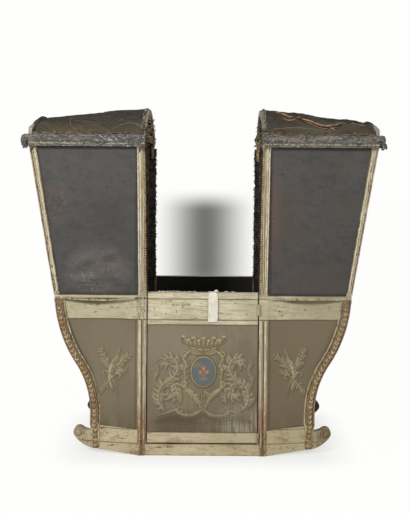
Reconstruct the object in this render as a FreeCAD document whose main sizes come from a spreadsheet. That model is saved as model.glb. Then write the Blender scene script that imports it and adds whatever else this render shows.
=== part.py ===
"""Sedan chair body for two sitters face to face: a painted carved case below, two leather hoods above.

The middle of the roof is missing, as on the old piece, so the two hoods stand apart over the open doorway.
X runs along the carrying direction, Y across, Z up. The origin is the middle of the ground under the sills.
The doors are in the sides at -Y ("near") and +Y ("far"), each hung on the post at +X ("right").
Masters are drawn in the right near quarter and mirrored into the other places.
"""

import FreeCAD, Part
import math
import os
import re

import Sketcher
from FreeCAD import Vector

# Driving sizes in millimetres and degrees: name, value, what it measures.
SIZES = [
    ("case_half_width", 370, "centre line to the outer face of the framing, across"),
    ("frame_depth", 45, "thickness of the framing from outside to inside"),
    ("doorway_half", 267, "centre line to the inner face of a door post, along"),
    ("door_post_width", 40, "width of a door post seen from the side"),
    ("facing_proud", 8, "how far the carved facings stand out from the posts"),
    ("facing_width", 26, "width of the carved facings"),
    ("facing_groove", 6, "width of the groove between a facing's two reeds"),
    ("sill_height", 55, "height of the plain sill under the doors"),
    ("sill_flat_half", 307, "centre line to the end of the flat underside of the sill"),
    ("sill_end_out", 533, "centre line to the outer face of a corner post's foot"),
    ("sill_recede", 47, "how far the sill draws in across, at the corner post"),
    ("sill_rise", 24, "how far the underside of the sill rises, at the corner post"),
    ("band_height", 67, "height of the band on the sill, beside the door post"),
    ("band_rise", 13, "how far the band's top rises towards the corner post"),
    ("scroll_radius", 28, "radius of the scroll at a sill's end"),
    ("scroll_out", 590, "centre line to the scroll's middle, along"),
    ("scroll_up", 92, "ground to the scroll's middle"),
    ("scroll_eye", 10, "radius of the scroll's eye"),
    ("scroll_proud", 4, "how far that eye stands out of the sill"),
    ("floor_thick", 18, "thickness of the floor board"),
    ("waist_bottom", 643, "ground to the underside of the waist rail"),
    ("waist_height", 100, "height of the waist rail"),
    ("waist_recess", 28, "depth of the hollow in a side waist rail"),
    ("corner_out", 704, "centre line to the corner post's outer face, under the hood"),
    ("corner_turn", 12.5, "angle of a corner post's plane from the case's side"),
    ("corner_low_radius", 440, "radius of the lower sweep of a corner post"),
    ("corner_high_radius", 640, "radius of the upper sweep of a corner post"),
    ("corner_sweep", 33, "slope of a corner post where its two sweeps meet"),
    ("corner_straight", 185, "ground to the top of a corner post's straight foot"),
    ("corner_width", 40, "width of a corner post seen from the side"),
    ("corner_depth", 44, "thickness of a corner post across"),
    ("panel_thick", 12, "thickness of the case's panels"),
    ("panel_set_back", 5, "how far the case's panels lie behind the framing's face"),
    ("hood_rail_height", 16, "height of the rail at the bottom of a hood"),
    ("hood_height", 704, "height of a hood's walls over that rail"),
    ("hood_lean", 9.9, "outward lean of a hood's end from upright"),
    ("jamb_lean", 12, "how far a hood's jamb leans outwards over its height"),
    ("hood_post_low", 28, "width of a hood's corner post at its foot"),
    ("hood_post_high", 35, "width of a hood's corner post at its top"),
    ("hood_post_depth", 35, "thickness of a hood's corner post across"),
    ("hood_panel_thick", 14, "thickness of a hood's leather-covered wall"),
    ("hood_panel_back", 7, "how far a hood's wall lies behind its posts' faces"),
    ("cornice_height", 57, "height of the cornice"),
    ("cornice_side_out", 35, "how far the cornice stands out at the sides"),
    ("cornice_overhang", 42, "how far the cornice's outer end stands out of the roof's"),
    ("cornice_band", 18, "height of the band under the cornice's roll"),
    ("cornice_set_back", 9, "how far that band lies behind the roll"),
    ("cornice_corner", 14, "cut-off at the cornice's outer corners"),
    ("cornice_width", 65, "width of the cornice seen from above"),
    ("roof_half_width", 385, "centre line to the roof's eave"),
    ("roof_inner", 289, "centre line to the roof's torn inner edge"),
    ("roof_outer", 815, "centre line to the roof's outer end"),
    ("roof_rise_inner", 135, "rise of the roof's arch at its inner edge"),
    ("roof_rise_outer", 72, "rise of the roof's arch at its outer end"),
    ("roof_thick", 10, "thickness of the roof"),
    ("rib_wide", 12, "width of the rib under the roof's inner edge"),
    ("rib_deep", 28, "depth of that rib"),
    ("hoop_half_width", 372, "centre line to the foot of the end hoop"),
    ("hoop_leg", 30, "height of the end hoop's upright foot"),
    ("hoop_rise", 40, "rise of the end hoop's arch over its feet"),
    ("hoop_wide", 17, "width of the end hoop, along"),
    ("hoop_thick", 10, "thickness of the end hoop"),
    ("door_gap", 5, "clearance round a door"),
    ("door_thick", 25, "thickness of a door's stiles"),
    ("door_stile", 40, "width of a door's stiles"),
    ("door_bottom_rail", 50, "height of a door's bottom rail"),
    ("door_skin", 6, "thickness of a door's painted panel"),
    ("door_set_back", 2, "how far a door's panel lies behind its rails"),
    ("bead_height", 22, "height of the moulding over a door's panel"),
    ("bead_proud", 4, "how far that moulding stands out of the rails"),
    ("cap_height", 29, "height of the moulding on a door's top"),
    ("cap_proud", 6, "how far that moulding stands out of the rails"),
    ("hinge_out", 10, "how far a hinge's pin stands out of the case's face"),
    ("hinge_tall", 50, "height of a hinge"),
    ("knuckle_radius", 5, "radius of a hinge's knuckles"),
    ("knuckle_tall", 15, "height of the knuckles on the post"),
    ("pin_radius", 2.5, "radius of a hinge's pin"),
    ("pin_play", 0.05, "radial clearance of a hinge's pin"),
    ("knuckle_play", 0.3, "clearance between a hinge's knuckles"),
    ("leaf_thick", 2, "thickness of a hinge's leaf"),
    ("leaf_wide", 38, "width of a hinge's leaf behind its pin"),
    ("hinge_inset", 25, "middle of the lower hinge over the door's foot"),
    ("hinge_drop", 50, "middle of the upper hinge over the waist rail's underside"),
    ("seat_front", 300, "centre line to the front of a seat"),
    ("seat_back", 520, "centre line to the back of a seat's board"),
    ("seat_up", 400, "ground to the top of a seat's board"),
    ("seat_thick", 20, "thickness of a seat's boards"),
    ("seat_clearance", 35, "clearance between a seat and the framing's inner face"),
    ("strap_wide", 50, "width of the pull strap"),
    ("strap_thick", 3, "thickness of the pull strap"),
    ("strap_middle", 47, "centre line to the middle of the pull strap"),
    ("strap_foot", 632, "ground to the strap's lower end outside"),
    ("strap_foot_inside", 665, "ground to the strap's lower end inside"),
    ("soft_gap", 0.3, "clearance between the strap and what it lies on"),
]

# Sizes that follow from those, as formulas.
DERIVED = {
    "post_outer": "(doorway_half + door_post_width)",
    "frame_inner": "(case_half_width - frame_depth)",
    "band_top": "(sill_height + band_height)",
    "band_top_end": "(band_top + band_rise)",
    "waist_top": "(waist_bottom + waist_height)",
    "hood_bottom": "(waist_top + hood_rail_height)",
    "hood_top": "(hood_bottom + hood_height)",
    "eave": "(hood_top + cornice_height)",
    # plan slope of the sill beyond its flat middle
    "sill_slope": "(sill_recede / (sill_end_out - sill_flat_half))",
    # the corner post's two sweeps, measured outwards from its top in its own turned plane
    "sweep_meet_up": "(corner_straight + corner_low_radius * sin(corner_sweep))",
    "corner_top_slope": "(asin(sin(corner_sweep) - (waist_top - sweep_meet_up) / corner_high_radius))",
    "sweep_meet_in": "(corner_high_radius * (cos(corner_top_slope) - cos(corner_sweep)))",
    "foot_in": "(sweep_meet_in + corner_low_radius * (1 - cos(corner_sweep)))",
    "high_centre_in": "(sweep_meet_in + corner_high_radius * cos(corner_sweep))",
    "high_centre_up": "(sweep_meet_up + corner_high_radius * sin(corner_sweep))",
    "corner_middle_across": "(case_half_width - corner_depth / 2)",
    "door_half": "(doorway_half - door_gap)",
    "door_foot": "(sill_height + door_gap)",
    "door_panel_foot": "(door_foot + door_bottom_rail)",
    "bead_foot": "(waist_bottom - bead_height)",
    "door_skin_front": "(case_half_width - door_set_back)",
    "door_back": "(door_skin_front - door_skin - door_thick)",
    "cap_top": "(waist_top + cap_height)",
    "pin_along": "(doorway_half - door_gap / 2)",
    "pin_across": "(case_half_width + hinge_out)",
    "hood_post_foot": "(corner_out + hood_rail_height * tan(hood_lean))",
    "hood_post_head": "(corner_out + (hood_rail_height + hood_height) * tan(hood_lean))",
    "cornice_end_out": "(roof_outer + cornice_overhang)",
    "cornice_in": "(roof_inner - rib_wide)",
    "seat_half_width": "(frame_inner - seat_clearance)",
}

document = FreeCAD.newDocument("SedanChair")
sheet = document.addObject("Spreadsheet::Sheet", "Sizes")
for row, (alias, number, meaning) in enumerate(SIZES, start=1):
    sheet.set("A%d" % row, alias)
    sheet.set("B%d" % row, str(number))
    sheet.set("C%d" % row, meaning)
    sheet.setAlias("B%d" % row, alias)
document.recompute()

SHEET_NAMES = re.compile(r"\b(%s)\b" % "|".join(alias for alias, number, meaning in SIZES))
DERIVED_NAMES = re.compile(r"\b(%s)\b" % "|".join(DERIVED))
PLANES = {"plan": "XY_Plane", "side": "XZ_Plane", "end": "YZ_Plane"}
nodes = {}


def bound(formula):
    """The formula with derived names written out and sheet names addressed, for setExpression."""
    formula = str(formula)
    while DERIVED_NAMES.search(formula):
        formula = DERIVED_NAMES.sub(lambda found: DERIVED[found.group(1)], formula)
    return SHEET_NAMES.sub(r"Sizes.\1", formula)


def worth(formula):
    """The formula's value now."""
    return float(sheet.evalExpression(bound(formula)))


def tie(thing, path, formula):
    thing.setExpression(path, bound(formula))


# ---------------------------------------------------------------- profiles and features


def arc_between(start, end, radius, turn):
    """Arc from start to end, turning left (1) or right (-1), with the sketch positions of its two ends."""
    chord = end - start
    left = Vector(-chord.y, chord.x, 0).normalize()
    reach = math.sqrt(radius**2 - (chord.Length / 2) ** 2)
    centre = (start + end) * 0.5 + left * (reach * turn)
    first, last = (start, end) if turn > 0 else (end, start)
    angles = [math.atan2(point.y - centre.y, point.x - centre.x) for point in (first, last)]
    circle = Part.Circle(centre, Vector(0, 0, 1), radius)
    places = (1, 2) if turn > 0 else (2, 1)
    return Part.ArcOfCircle(circle, *angles), places


def outline_sketch(body, name, plane, outline, start="0"):
    """Closed sketch on one of the body's own planes, moved out along its normal by start.

    Each corner is (across, up). A corner with two more entries is reached along an arc: (across, up, radius, turn).
    On the "side" plane the normal points to the near side, so start is a distance from the centre line.
    """
    sketch = body.newObject("Sketcher::SketchObject", name)
    role = PLANES[plane]
    sketch.AttachmentSupport = [next(f for f in body.Origin.OriginFeatures if f.Role == role)]
    sketch.MapMode = "FlatFace"
    tie(sketch, ".AttachmentOffset.Base.z", start)
    corners = [Vector(worth(corner[0]), worth(corner[1]), 0) for corner in outline]
    edges = []
    for index, corner in enumerate(outline):
        begin = corners[index - 1]
        end = corners[index]
        if len(corner) == 4:
            curve, places = arc_between(begin, end, worth(corner[2]), corner[3])
        else:
            curve, places = Part.LineSegment(begin, end), (1, 2)
        edges.append((sketch.addGeometry(curve, False), places))
    for index, corner in enumerate(outline):
        edge, places = edges[index]
        following, following_places = edges[(index + 1) % len(edges)]
        sketch.addConstraint(Sketcher.Constraint("Coincident", edge, places[1], following, following_places[0]))
        for kind, value, formula in (
            ("DistanceX", corners[index].x, corner[0]),
            ("DistanceY", corners[index].y, corner[1]),
        ):
            rule = sketch.addConstraint(Sketcher.Constraint(kind, -1, 1, edge, places[1], value))
            tie(sketch, "Constraints[%d]" % rule, formula)
        if len(corner) == 4:
            rule = sketch.addConstraint(Sketcher.Constraint("Radius", edge, worth(corner[2])))
            tie(sketch, "Constraints[%d]" % rule, corner[2])
    return sketch


def round_outline(across, up, radius):
    """Circle as three arcs."""
    corners = []
    for angle in (90, 210, 330):
        point_across = "%s + %s * cos(%d)" % (across, radius, angle)
        point_up = "%s + %s * sin(%d)" % (up, radius, angle)
        corners.append((point_across, point_up, radius, 1))
    return corners


def new_body(name):
    body = document.addObject("PartDesign::Body", name)
    body.AllowCompound = True
    return body


def pad(body, plane, outline, start, length, kind="Pad"):
    """Pads (or, as a Pocket, cuts) an outline from start over length along the plane's normal."""
    sketch = outline_sketch(body, "%s_%s_outline" % (body.Name, kind), plane, outline, start)
    before = 0 if body.Shape.isNull() else body.Shape.Volume
    feature = body.newObject("PartDesign::" + kind, "%s_%s" % (body.Name, kind))
    feature.Profile = sketch
    if kind == "Pocket":
        feature.Reversed = True
    tie(feature, "Length", length)
    body.Tip = feature
    document.recompute()
    if kind == "Pocket" and not body.Shape.Volume < before:
        raise RuntimeError("the pocket in %s cuts nothing" % body.Name)
    return feature


def padded(name, plane, outline, start, length):
    body = new_body(name)
    pad(body, plane, outline, start, length)
    return body


def box(name, along, across, up):
    """Box between two formulas on each axis."""
    solid = document.addObject("Part::Box", name)
    for side, axis, (low, high) in (("Length", "x", along), ("Width", "y", across), ("Height", "z", up)):
        tie(solid, side, "(%s) - (%s)" % (high, low))
        tie(solid, ".Placement.Base." + axis, low)
    return solid


def rod(name, along, across, up, radius):
    """Upright cylinder between two heights."""
    solid = document.addObject("Part::Cylinder", name)
    tie(solid, "Radius", radius)
    tie(solid, "Height", "(%s) - (%s)" % (up[1], up[0]))
    for axis, value in (("x", along), ("y", across), ("z", up[0])):
        tie(solid, ".Placement.Base." + axis, value)
    return solid


def boolean(kind, name, base, tool):
    result = document.addObject("Part::" + kind, name)
    result.Base = base
    result.Tool = tool
    return result


def joined(name, shapes, kind="MultiFuse"):
    result = document.addObject("Part::" + kind, name)
    setattr(result, "Links" if kind == "Compound" else "Shapes", shapes)
    return result


def mirrored(name, source, across):
    """The source mirrored to the far side ("Y") or to the other end ("X")."""
    copy = document.addObject("Part::Mirroring", name)
    copy.Source = source
    copy.Normal = Vector(1, 0, 0) if across == "X" else Vector(0, 1, 0)
    return copy


def node(label, thing):
    thing.Label = label
    nodes[label] = thing


def to_both_ends(name, right):
    node(name + "_right", right)
    node(name + "_left", mirrored(name + "_left", right, "X"))


def to_both_sides(name, near):
    node(name + "_near", near)
    node(name + "_far", mirrored(name + "_far", near, "Y"))


def to_four_corners(name, right_near):
    left_near = mirrored(name + "_left_near", right_near, "X")
    node(name + "_right_near", right_near)
    node(name + "_left_near", left_near)
    node(name + "_right_far", mirrored(name + "_right_far", right_near, "Y"))
    node(name + "_left_far", mirrored(name + "_left_far", left_near, "Y"))


# ---------------------------------------------------------------- the case's framing


def turn_into_corner(body):
    """Stands a corner post's own plane at the corner, turned so that its foot draws in."""
    tie(body, ".Placement.Base.x", "corner_out")
    tie(body, ".Placement.Base.y", "-corner_middle_across")
    body.Placement = FreeCAD.Placement(
        Vector(worth("corner_out"), worth("-corner_middle_across"), 0),
        FreeCAD.Rotation(Vector(0, 0, 1), worth("-corner_turn")),
    )
    tie(body, ".Placement.Rotation.Angle", "-corner_turn")


def sweep_edge(inset, foot):
    """A corner post's edge from its foot to its top, inset from the outer face."""
    high = "(corner_high_radius - (%s))" % inset
    low = "(corner_low_radius + (%s))" % inset
    top = "-high_centre_in + sqrt(%s^2 - (high_centre_up - waist_top)^2)" % high
    return [
        ("-foot_in - (%s)" % inset, foot),
        ("-foot_in - (%s)" % inset, "corner_straight"),
        ("-sweep_meet_in - (%s) * cos(corner_sweep)" % inset, "sweep_meet_up + (%s) * sin(corner_sweep)" % inset, low, -1),
        (top, "waist_top", high, 1),
    ]


def ribbon(outer_inset, inner_inset, foot):
    """Outline between two edges of the corner post's sweep."""
    up = sweep_edge(outer_inset, foot)
    down = sweep_edge(inner_inset, foot)
    back = [
        down[3][:2],
        (down[2][0], down[2][1], down[3][2], -1),
        (down[1][0], down[1][1], down[2][2], 1),
        down[0],
    ]
    return up + back


def build_corner_posts(sill):
    """Corner posts stand on the sills; their carved facings run on down over the sills' faces."""
    post = new_body("corner_post_sweep")
    pad(post, "side", ribbon("0", "corner_width", "band_top"), "-corner_depth / 2", "corner_depth")
    facing_inset = "(corner_width - facing_width) / 2"
    facing = ribbon(facing_inset, "corner_width - " + facing_inset, "sill_rise")
    pad(post, "side", facing, "corner_depth / 2", "facing_proud")
    turn_into_corner(post)
    to_four_corners("corner_post", boolean("Cut", "corner_post_right_near", post, sill))


def build_inside_of_corner():
    """Room inside a corner post, up to its inner face, to which panels and rails are trimmed."""
    zone = new_body("inside_of_corner")
    edge = sweep_edge("corner_width", "0")
    outline = edge + [("-corner_out", "waist_top"), ("-corner_out", "0")]
    pad(zone, "side", outline, "-case_half_width / 2", "case_half_width")
    turn_into_corner(zone)
    return zone


def build_sills():
    """Sills: one long timber a side, flat in the middle, drawing in and rising to a scroll at each end."""
    neck_top = "scroll_up + scroll_radius / 2"
    half = [
        ("post_outer", "sill_height"),
        ("post_outer", "band_top"),
        ("sill_end_out", "band_top_end"),
        ("sill_end_out", neck_top),
        ("scroll_out - scroll_radius * cos(45)", "scroll_up + scroll_radius * sin(45)", "2 * scroll_radius", 1),
        ("scroll_out + scroll_radius", "scroll_up", "scroll_radius", -1),
        ("scroll_out + scroll_radius * cos(45)", "scroll_up - scroll_radius * sin(45)", "scroll_radius", -1),
        ("sill_end_out", "sill_rise", "5 * scroll_radius", -1),
        ("sill_flat_half", "0"),
    ]
    other = []
    for index, corner in enumerate(reversed(half)):
        point = ("-(%s)" % corner[0], corner[1])
        reached_from = half[len(half) - index] if index else ()
        other.append(point + tuple(reached_from[2:]))
    elevation = padded("sill_elevation", "side", half + other, "frame_inner / 2", "case_half_width - frame_inner / 2")
    end = "scroll_out + scroll_radius"
    drawn_in = "((%s) - sill_flat_half) * sill_slope" % end
    plan = padded(
        "sill_plan",
        "plan",
        [
            ("-(%s)" % end, "-case_half_width + " + drawn_in),
            ("-sill_flat_half", "-case_half_width"),
            ("sill_flat_half", "-case_half_width"),
            (end, "-case_half_width + " + drawn_in),
            (end, "-frame_inner + " + drawn_in),
            ("sill_flat_half", "-frame_inner"),
            ("-sill_flat_half", "-frame_inner"),
            ("-(%s)" % end, "-frame_inner + " + drawn_in),
        ],
        "0",
        "2 * band_top_end",
    )
    sill = boolean("Common", "sill_timber", elevation, plan)
    face = "case_half_width - (scroll_out - sill_flat_half) * sill_slope"
    eye = padded(
        "scroll_eye",
        "side",
        round_outline("scroll_out", "scroll_up", "scroll_eye"),
        face + " - 2 * scroll_eye",
        "2 * scroll_eye + scroll_proud",
    )
    to_both_sides("sill", joined("sill_near", [sill, eye, mirrored("scroll_eye_left", eye, "X")]))
    return sill


def build_floor():
    reach = "sill_end_out - corner_width"
    edge = "frame_inner - (%s - sill_flat_half) * sill_slope" % reach
    outline = [
        ("-(%s)" % reach, "-(%s)" % edge),
        ("-sill_flat_half", "-frame_inner"),
        ("sill_flat_half", "-frame_inner"),
        (reach, "-(%s)" % edge),
        (reach, edge),
        ("sill_flat_half", "frame_inner"),
        ("-sill_flat_half", "frame_inner"),
        ("-(%s)" % reach, edge),
    ]
    node("floor_board", padded("floor_board", "plan", outline, "sill_height - floor_thick", "floor_thick"))
    outer_edge = "frame_inner - (sill_end_out - sill_flat_half) * sill_slope"
    cross = [
        (reach, "-(%s)" % edge),
        ("sill_end_out", "-(%s)" % outer_edge),
        ("sill_end_out", outer_edge),
        (reach, edge),
    ]
    to_both_ends("end_sill", padded("end_sill", "plan", cross, "sill_rise", "band_top - sill_rise"))


def build_door_posts():
    """Each door post is a lower post under the waist rail and a jamb of the hood over it."""
    lower = new_body("door_post_lower")
    face = [
        ("doorway_half", "sill_height"),
        ("post_outer", "sill_height"),
        ("post_outer", "waist_bottom"),
        ("doorway_half", "waist_bottom"),
    ]
    pad(lower, "side", face, "frame_inner", "frame_depth")
    inner = "(doorway_half + (door_post_width - facing_width) / 2)"
    reed_width = "(facing_width - facing_groove) / 2"
    for start in (inner, inner + " + facing_width - " + reed_width):
        reed = rectangle((start, start + " + " + reed_width), ("0", "waist_bottom"))
        pad(lower, "side", reed, "case_half_width", "facing_proud")
    leaning = [
        ("doorway_half", "hood_bottom"),
        ("post_outer", "hood_bottom"),
        ("post_outer + jamb_lean", "hood_top"),
        ("doorway_half + jamb_lean", "hood_top"),
    ]
    jamb = padded("door_jamb", "side", leaning, "frame_inner", "frame_depth")
    to_four_corners("door_post", joined("door_post_right_near", [lower, jamb], "Compound"))


def build_waist_rails(inside):
    """Side rails are hollowed in plan between door post and corner post; end rails join the corner posts."""
    chord = "(corner_out - post_outer)"
    radius = "((%s^2 / 4 + waist_recess^2) / (2 * waist_recess))" % chord
    outline = [
        ("doorway_half", "-case_half_width"),
        ("post_outer", "-case_half_width"),
        ("corner_out", "-case_half_width", radius, -1),
        ("corner_out", "-frame_inner"),
        ("doorway_half", "-frame_inner"),
    ]
    rail = padded("waist_rail_plan", "plan", outline, "waist_bottom", "waist_height")
    to_four_corners("waist_rail", boolean("Common", "waist_rail_right_near", rail, inside))
    outer = "corner_out - corner_width / 2"
    reach = "corner_middle_across - corner_depth / 2 / cos(corner_turn) - (corner_out - (%s)) * tan(corner_turn)"
    far_reach = reach % outer
    near_reach = reach % (outer + " - panel_thick * 2")
    outline = [
        (outer + " - panel_thick * 2", "-(%s)" % near_reach),
        (outer, "-(%s)" % far_reach),
        (outer, far_reach),
        (outer + " - panel_thick * 2", near_reach),
    ]
    to_both_ends("end_waist_rail", padded("end_waist_rail", "plan", outline, "waist_bottom", "waist_height"))


# ---------------------------------------------------------------- the case's panels


def build_side_panels(inside):
    """Side panels are hollow under the waist rail and draw in flat to the sill."""
    body = new_body("side_panel_skin")
    front = "(case_half_width - panel_set_back)"
    chord = "(corner_out - post_outer)"
    top_radius = "((%s^2 / 4 + waist_recess^2) / (2 * waist_recess))" % chord
    drawn_in = "(corner_out - sill_flat_half) * sill_slope"
    foot_radius = "(10 * corner_out)"
    sections = [
        ("band_top", "-%s + %s" % (front, drawn_in), foot_radius),
        ("waist_bottom", "-" + front, top_radius),
    ]
    sketches = []
    for up, end_across, radius in sections:
        outline = [
            ("post_outer", "-%s + panel_thick" % front),
            ("post_outer", "-" + front),
            ("corner_out", end_across, radius, -1),
            ("corner_out", end_across + " + panel_thick"),
        ]
        outline[0] = outline[0] + (radius, 1)
        sketches.append(outline_sketch(body, "side_panel_section", "plan", outline, up))
    document.recompute()
    skin = body.newObject("PartDesign::AdditiveLoft", "side_panel_loft")
    skin.Profile = sketches[0]
    skin.Sections = [sketches[1]]
    skin.Ruled = True
    body.Tip = skin
    document.recompute()
    over_band = padded(
        "over_band",
        "side",
        [
            ("post_outer", "band_top"),
            ("sill_end_out", "band_top_end"),
            ("corner_out", "band_top_end"),
            ("corner_out", "waist_bottom"),
            ("post_outer", "waist_bottom"),
        ],
        "0",
        "case_half_width",
    )
    trimmed = boolean("Common", "side_panel_trimmed", body, inside)
    to_four_corners("side_panel", boolean("Common", "side_panel_right_near", trimmed, over_band))


def build_end_panels(sill):
    """End panels follow the corner posts' sweep between the posts, from the end sill to the waist rail."""
    outline = ribbon("panel_set_back", "panel_set_back + panel_thick", "band_top")
    sweep = new_body("end_panel_sweep")
    pad(sweep, "side", outline, "-case_half_width", "2 * case_half_width")
    tie(sweep, ".Placement.Base.x", "sill_end_out + foot_in - corner_width / 3")
    start = "sill_flat_half"
    reach = "corner_middle_across - corner_depth / 2 / cos(corner_turn) + ((%s) - corner_out) * tan(corner_turn)"
    plan = padded(
        "end_panel_plan",
        "plan",
        [
            (start, "-(%s)" % (reach % start)),
            ("corner_out", "-(%s)" % (reach % "corner_out")),
            ("corner_out", reach % "corner_out"),
            (start, reach % start),
        ],
        "0",
        "waist_bottom",
    )
    panel = boolean("Common", "end_panel_whole", sweep, plan)
    sills = joined("both_sills", [sill, mirrored("far_sill_room", sill, "Y")], "Compound")
    to_both_ends("end_panel", boolean("Cut", "end_panel_right", panel, sills))


# ---------------------------------------------------------------- the hoods


def build_hood_walls():
    rail = padded(
        "hood_rail",
        "plan",
        [
            ("doorway_half", "-case_half_width"),
            ("corner_out", "-case_half_width"),
            ("corner_out", "case_half_width"),
            ("doorway_half", "case_half_width"),
            ("doorway_half", "frame_inner"),
            ("corner_out - frame_depth", "frame_inner"),
            ("corner_out - frame_depth", "-frame_inner"),
            ("doorway_half", "-frame_inner"),
        ],
        "waist_top",
        "hood_rail_height",
    )
    to_both_ends("hood_rail", rail)

    post = padded(
        "hood_post",
        "side",
        [
            ("hood_post_foot - hood_post_low", "hood_bottom"),
            ("hood_post_foot", "hood_bottom"),
            ("hood_post_head", "hood_top"),
            ("hood_post_head - hood_post_high", "hood_top"),
        ],
        "case_half_width - hood_post_depth",
        "hood_post_depth",
    )
    to_both_ends("hood_posts", joined("hood_posts_right", [post, mirrored("hood_post_far", post, "Y")], "Compound"))

    side = padded(
        "hood_side_panel",
        "side",
        [
            ("post_outer", "hood_bottom"),
            ("hood_post_foot - hood_post_low", "hood_bottom"),
            ("hood_post_head - hood_post_high", "hood_top"),
            ("post_outer + jamb_lean", "hood_top"),
        ],
        "case_half_width - hood_panel_back - hood_panel_thick",
        "hood_panel_thick",
    )
    to_four_corners("hood_side_panel", side)

    end = padded(
        "hood_end_panel",
        "side",
        [
            ("hood_post_foot - hood_panel_back - hood_panel_thick", "hood_bottom"),
            ("hood_post_foot - hood_panel_back", "hood_bottom"),
            ("hood_post_head - hood_panel_back", "hood_top"),
            ("hood_post_head - hood_panel_back - hood_panel_thick", "hood_top"),
        ],
        "-(case_half_width - hood_post_depth)",
        "2 * (case_half_width - hood_post_depth)",
    )
    to_both_ends("hood_end_panel", end)


def cornice_outline(inset):
    """The cornice seen from above, its outer faces drawn in by the inset and its outer corners cut off."""
    side = "(case_half_width + cornice_side_out - %s)" % inset
    end = "(cornice_end_out - %s)" % inset
    inner_side = "(case_half_width + cornice_side_out - cornice_width)"
    return [
        ("cornice_in", "-" + side),
        (end + " - cornice_corner", "-" + side),
        (end, "cornice_corner - " + side),
        (end, side + " - cornice_corner"),
        (end + " - cornice_corner", side),
        ("cornice_in", side),
        ("cornice_in", inner_side),
        ("cornice_end_out - cornice_width", inner_side),
        ("cornice_end_out - cornice_width", "-" + inner_side),
        ("cornice_in", "-" + inner_side),
    ]


def build_cornices():
    """A plain band below a rounded roll that overhangs it."""
    cornice = new_body("cornice")
    sections = []
    for up, inset in (
        ("0", "cornice_set_back"),
        ("cornice_band", "cornice_set_back"),
        ("cornice_band + 3", "cornice_set_back / 3"),
        ("cornice_band + 9", "0"),
        ("cornice_height - 9", "0"),
        ("cornice_height - 3", "cornice_set_back / 3"),
        ("cornice_height", "cornice_set_back"),
    ):
        sections.append(outline_sketch(cornice, "cornice_section", "plan", cornice_outline(inset), "hood_top + " + up))
    document.recompute()
    loft = cornice.newObject("PartDesign::AdditiveLoft", "cornice_loft")
    loft.Profile = sections[0]
    loft.Sections = sections[1:]
    loft.Ruled = True
    cornice.Tip = loft
    document.recompute()
    to_both_ends("cornice", cornice)


def arch(half_width, rise, foot):
    """Arch outline from its right foot over to its left, closed by a straight line."""
    radius = "((%s)^2 + (%s)^2) / (2 * (%s))" % (half_width, rise, rise)
    return [("-(%s)" % half_width, foot), (half_width, foot), ("0", "%s + %s" % (foot, rise), radius, 1)], radius


def arch_section(body, along, half_width, rise):
    corners, radius = arch(half_width, rise, "eave")
    corners[0] = corners[0] + (radius, 1)
    return outline_sketch(body, "roof_section", "end", corners, along)


def build_roofs():
    """Barrel vaults that fall and narrow their rise towards the outer end, closed there by an end wall."""
    roof = new_body("roof")
    for kind, outer_end, inset in (
        ("AdditiveLoft", "roof_outer", "0"),
        ("SubtractiveLoft", "roof_outer - roof_thick", "roof_thick"),
    ):
        half_width = "roof_half_width - " + inset
        first = arch_section(roof, "roof_inner", half_width, "roof_rise_inner - " + inset)
        last = arch_section(roof, outer_end, half_width, "roof_rise_outer - " + inset)
        document.recompute()
        loft = roof.newObject("PartDesign::" + kind, "roof_" + kind)
        loft.Profile = first
        loft.Sections = [last]
        loft.Ruled = True
        roof.Tip = loft
        document.recompute()
    to_both_ends("roof", roof)


def build_ribs_and_hoops():
    outer, radius = arch("roof_half_width", "roof_rise_inner", "eave")
    inner_radius = "(%s - rib_deep)" % radius
    foot = "sqrt(%s^2 - (%s - roof_rise_inner)^2)" % (inner_radius, "(" + radius + ")")
    outline = [
        ("-roof_half_width", "eave"),
        ("-" + foot, "eave"),
        ("0", "eave + roof_rise_inner - rib_deep", inner_radius, -1),
        (foot, "eave", inner_radius, -1),
        ("roof_half_width", "eave"),
        ("0", "eave + roof_rise_inner", radius, 1),
    ]
    outline[0] = outline[0] + (radius, 1)
    to_both_ends("roof_rib", padded("roof_rib", "end", outline, "roof_inner - rib_wide", "rib_wide"))

    shoulder = "eave + hoop_leg"
    radius = "((hoop_half_width^2 + hoop_rise^2) / (2 * hoop_rise))"
    inner_half = "hoop_half_width - hoop_thick"
    inner_radius = "(((%s)^2 + hoop_rise^2) / (2 * hoop_rise))" % inner_half
    outline = [
        ("-hoop_half_width", "eave"),
        ("-(%s)" % inner_half, "eave"),
        ("-(%s)" % inner_half, shoulder + " - hoop_thick"),
        ("0", shoulder + " + hoop_rise - hoop_thick", inner_radius, -1),
        (inner_half, shoulder + " - hoop_thick", inner_radius, -1),
        (inner_half, "eave"),
        ("hoop_half_width", "eave"),
        ("hoop_half_width", shoulder),
        ("0", shoulder + " + hoop_rise", radius, 1),
        ("-hoop_half_width", shoulder, radius, 1),
    ]
    to_both_ends("end_hoop", padded("end_hoop", "end", outline, "roof_outer", "hoop_wide"))


# ---------------------------------------------------------------- inside


def build_seats():
    outline = [
        ("seat_front", "sill_height"),
        ("seat_front + seat_thick", "sill_height"),
        ("seat_front + seat_thick", "seat_up - seat_thick"),
        ("seat_back", "seat_up - seat_thick"),
        ("seat_back", "seat_up"),
        ("seat_front", "seat_up"),
    ]
    to_both_ends("seat", padded("seat", "side", outline, "-seat_half_width", "2 * seat_half_width"))


# ---------------------------------------------------------------- doors and hinges


def rectangle(along, up):
    return [(along[0], up[0]), (along[1], up[0]), (along[1], up[1]), (along[0], up[1])]


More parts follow.
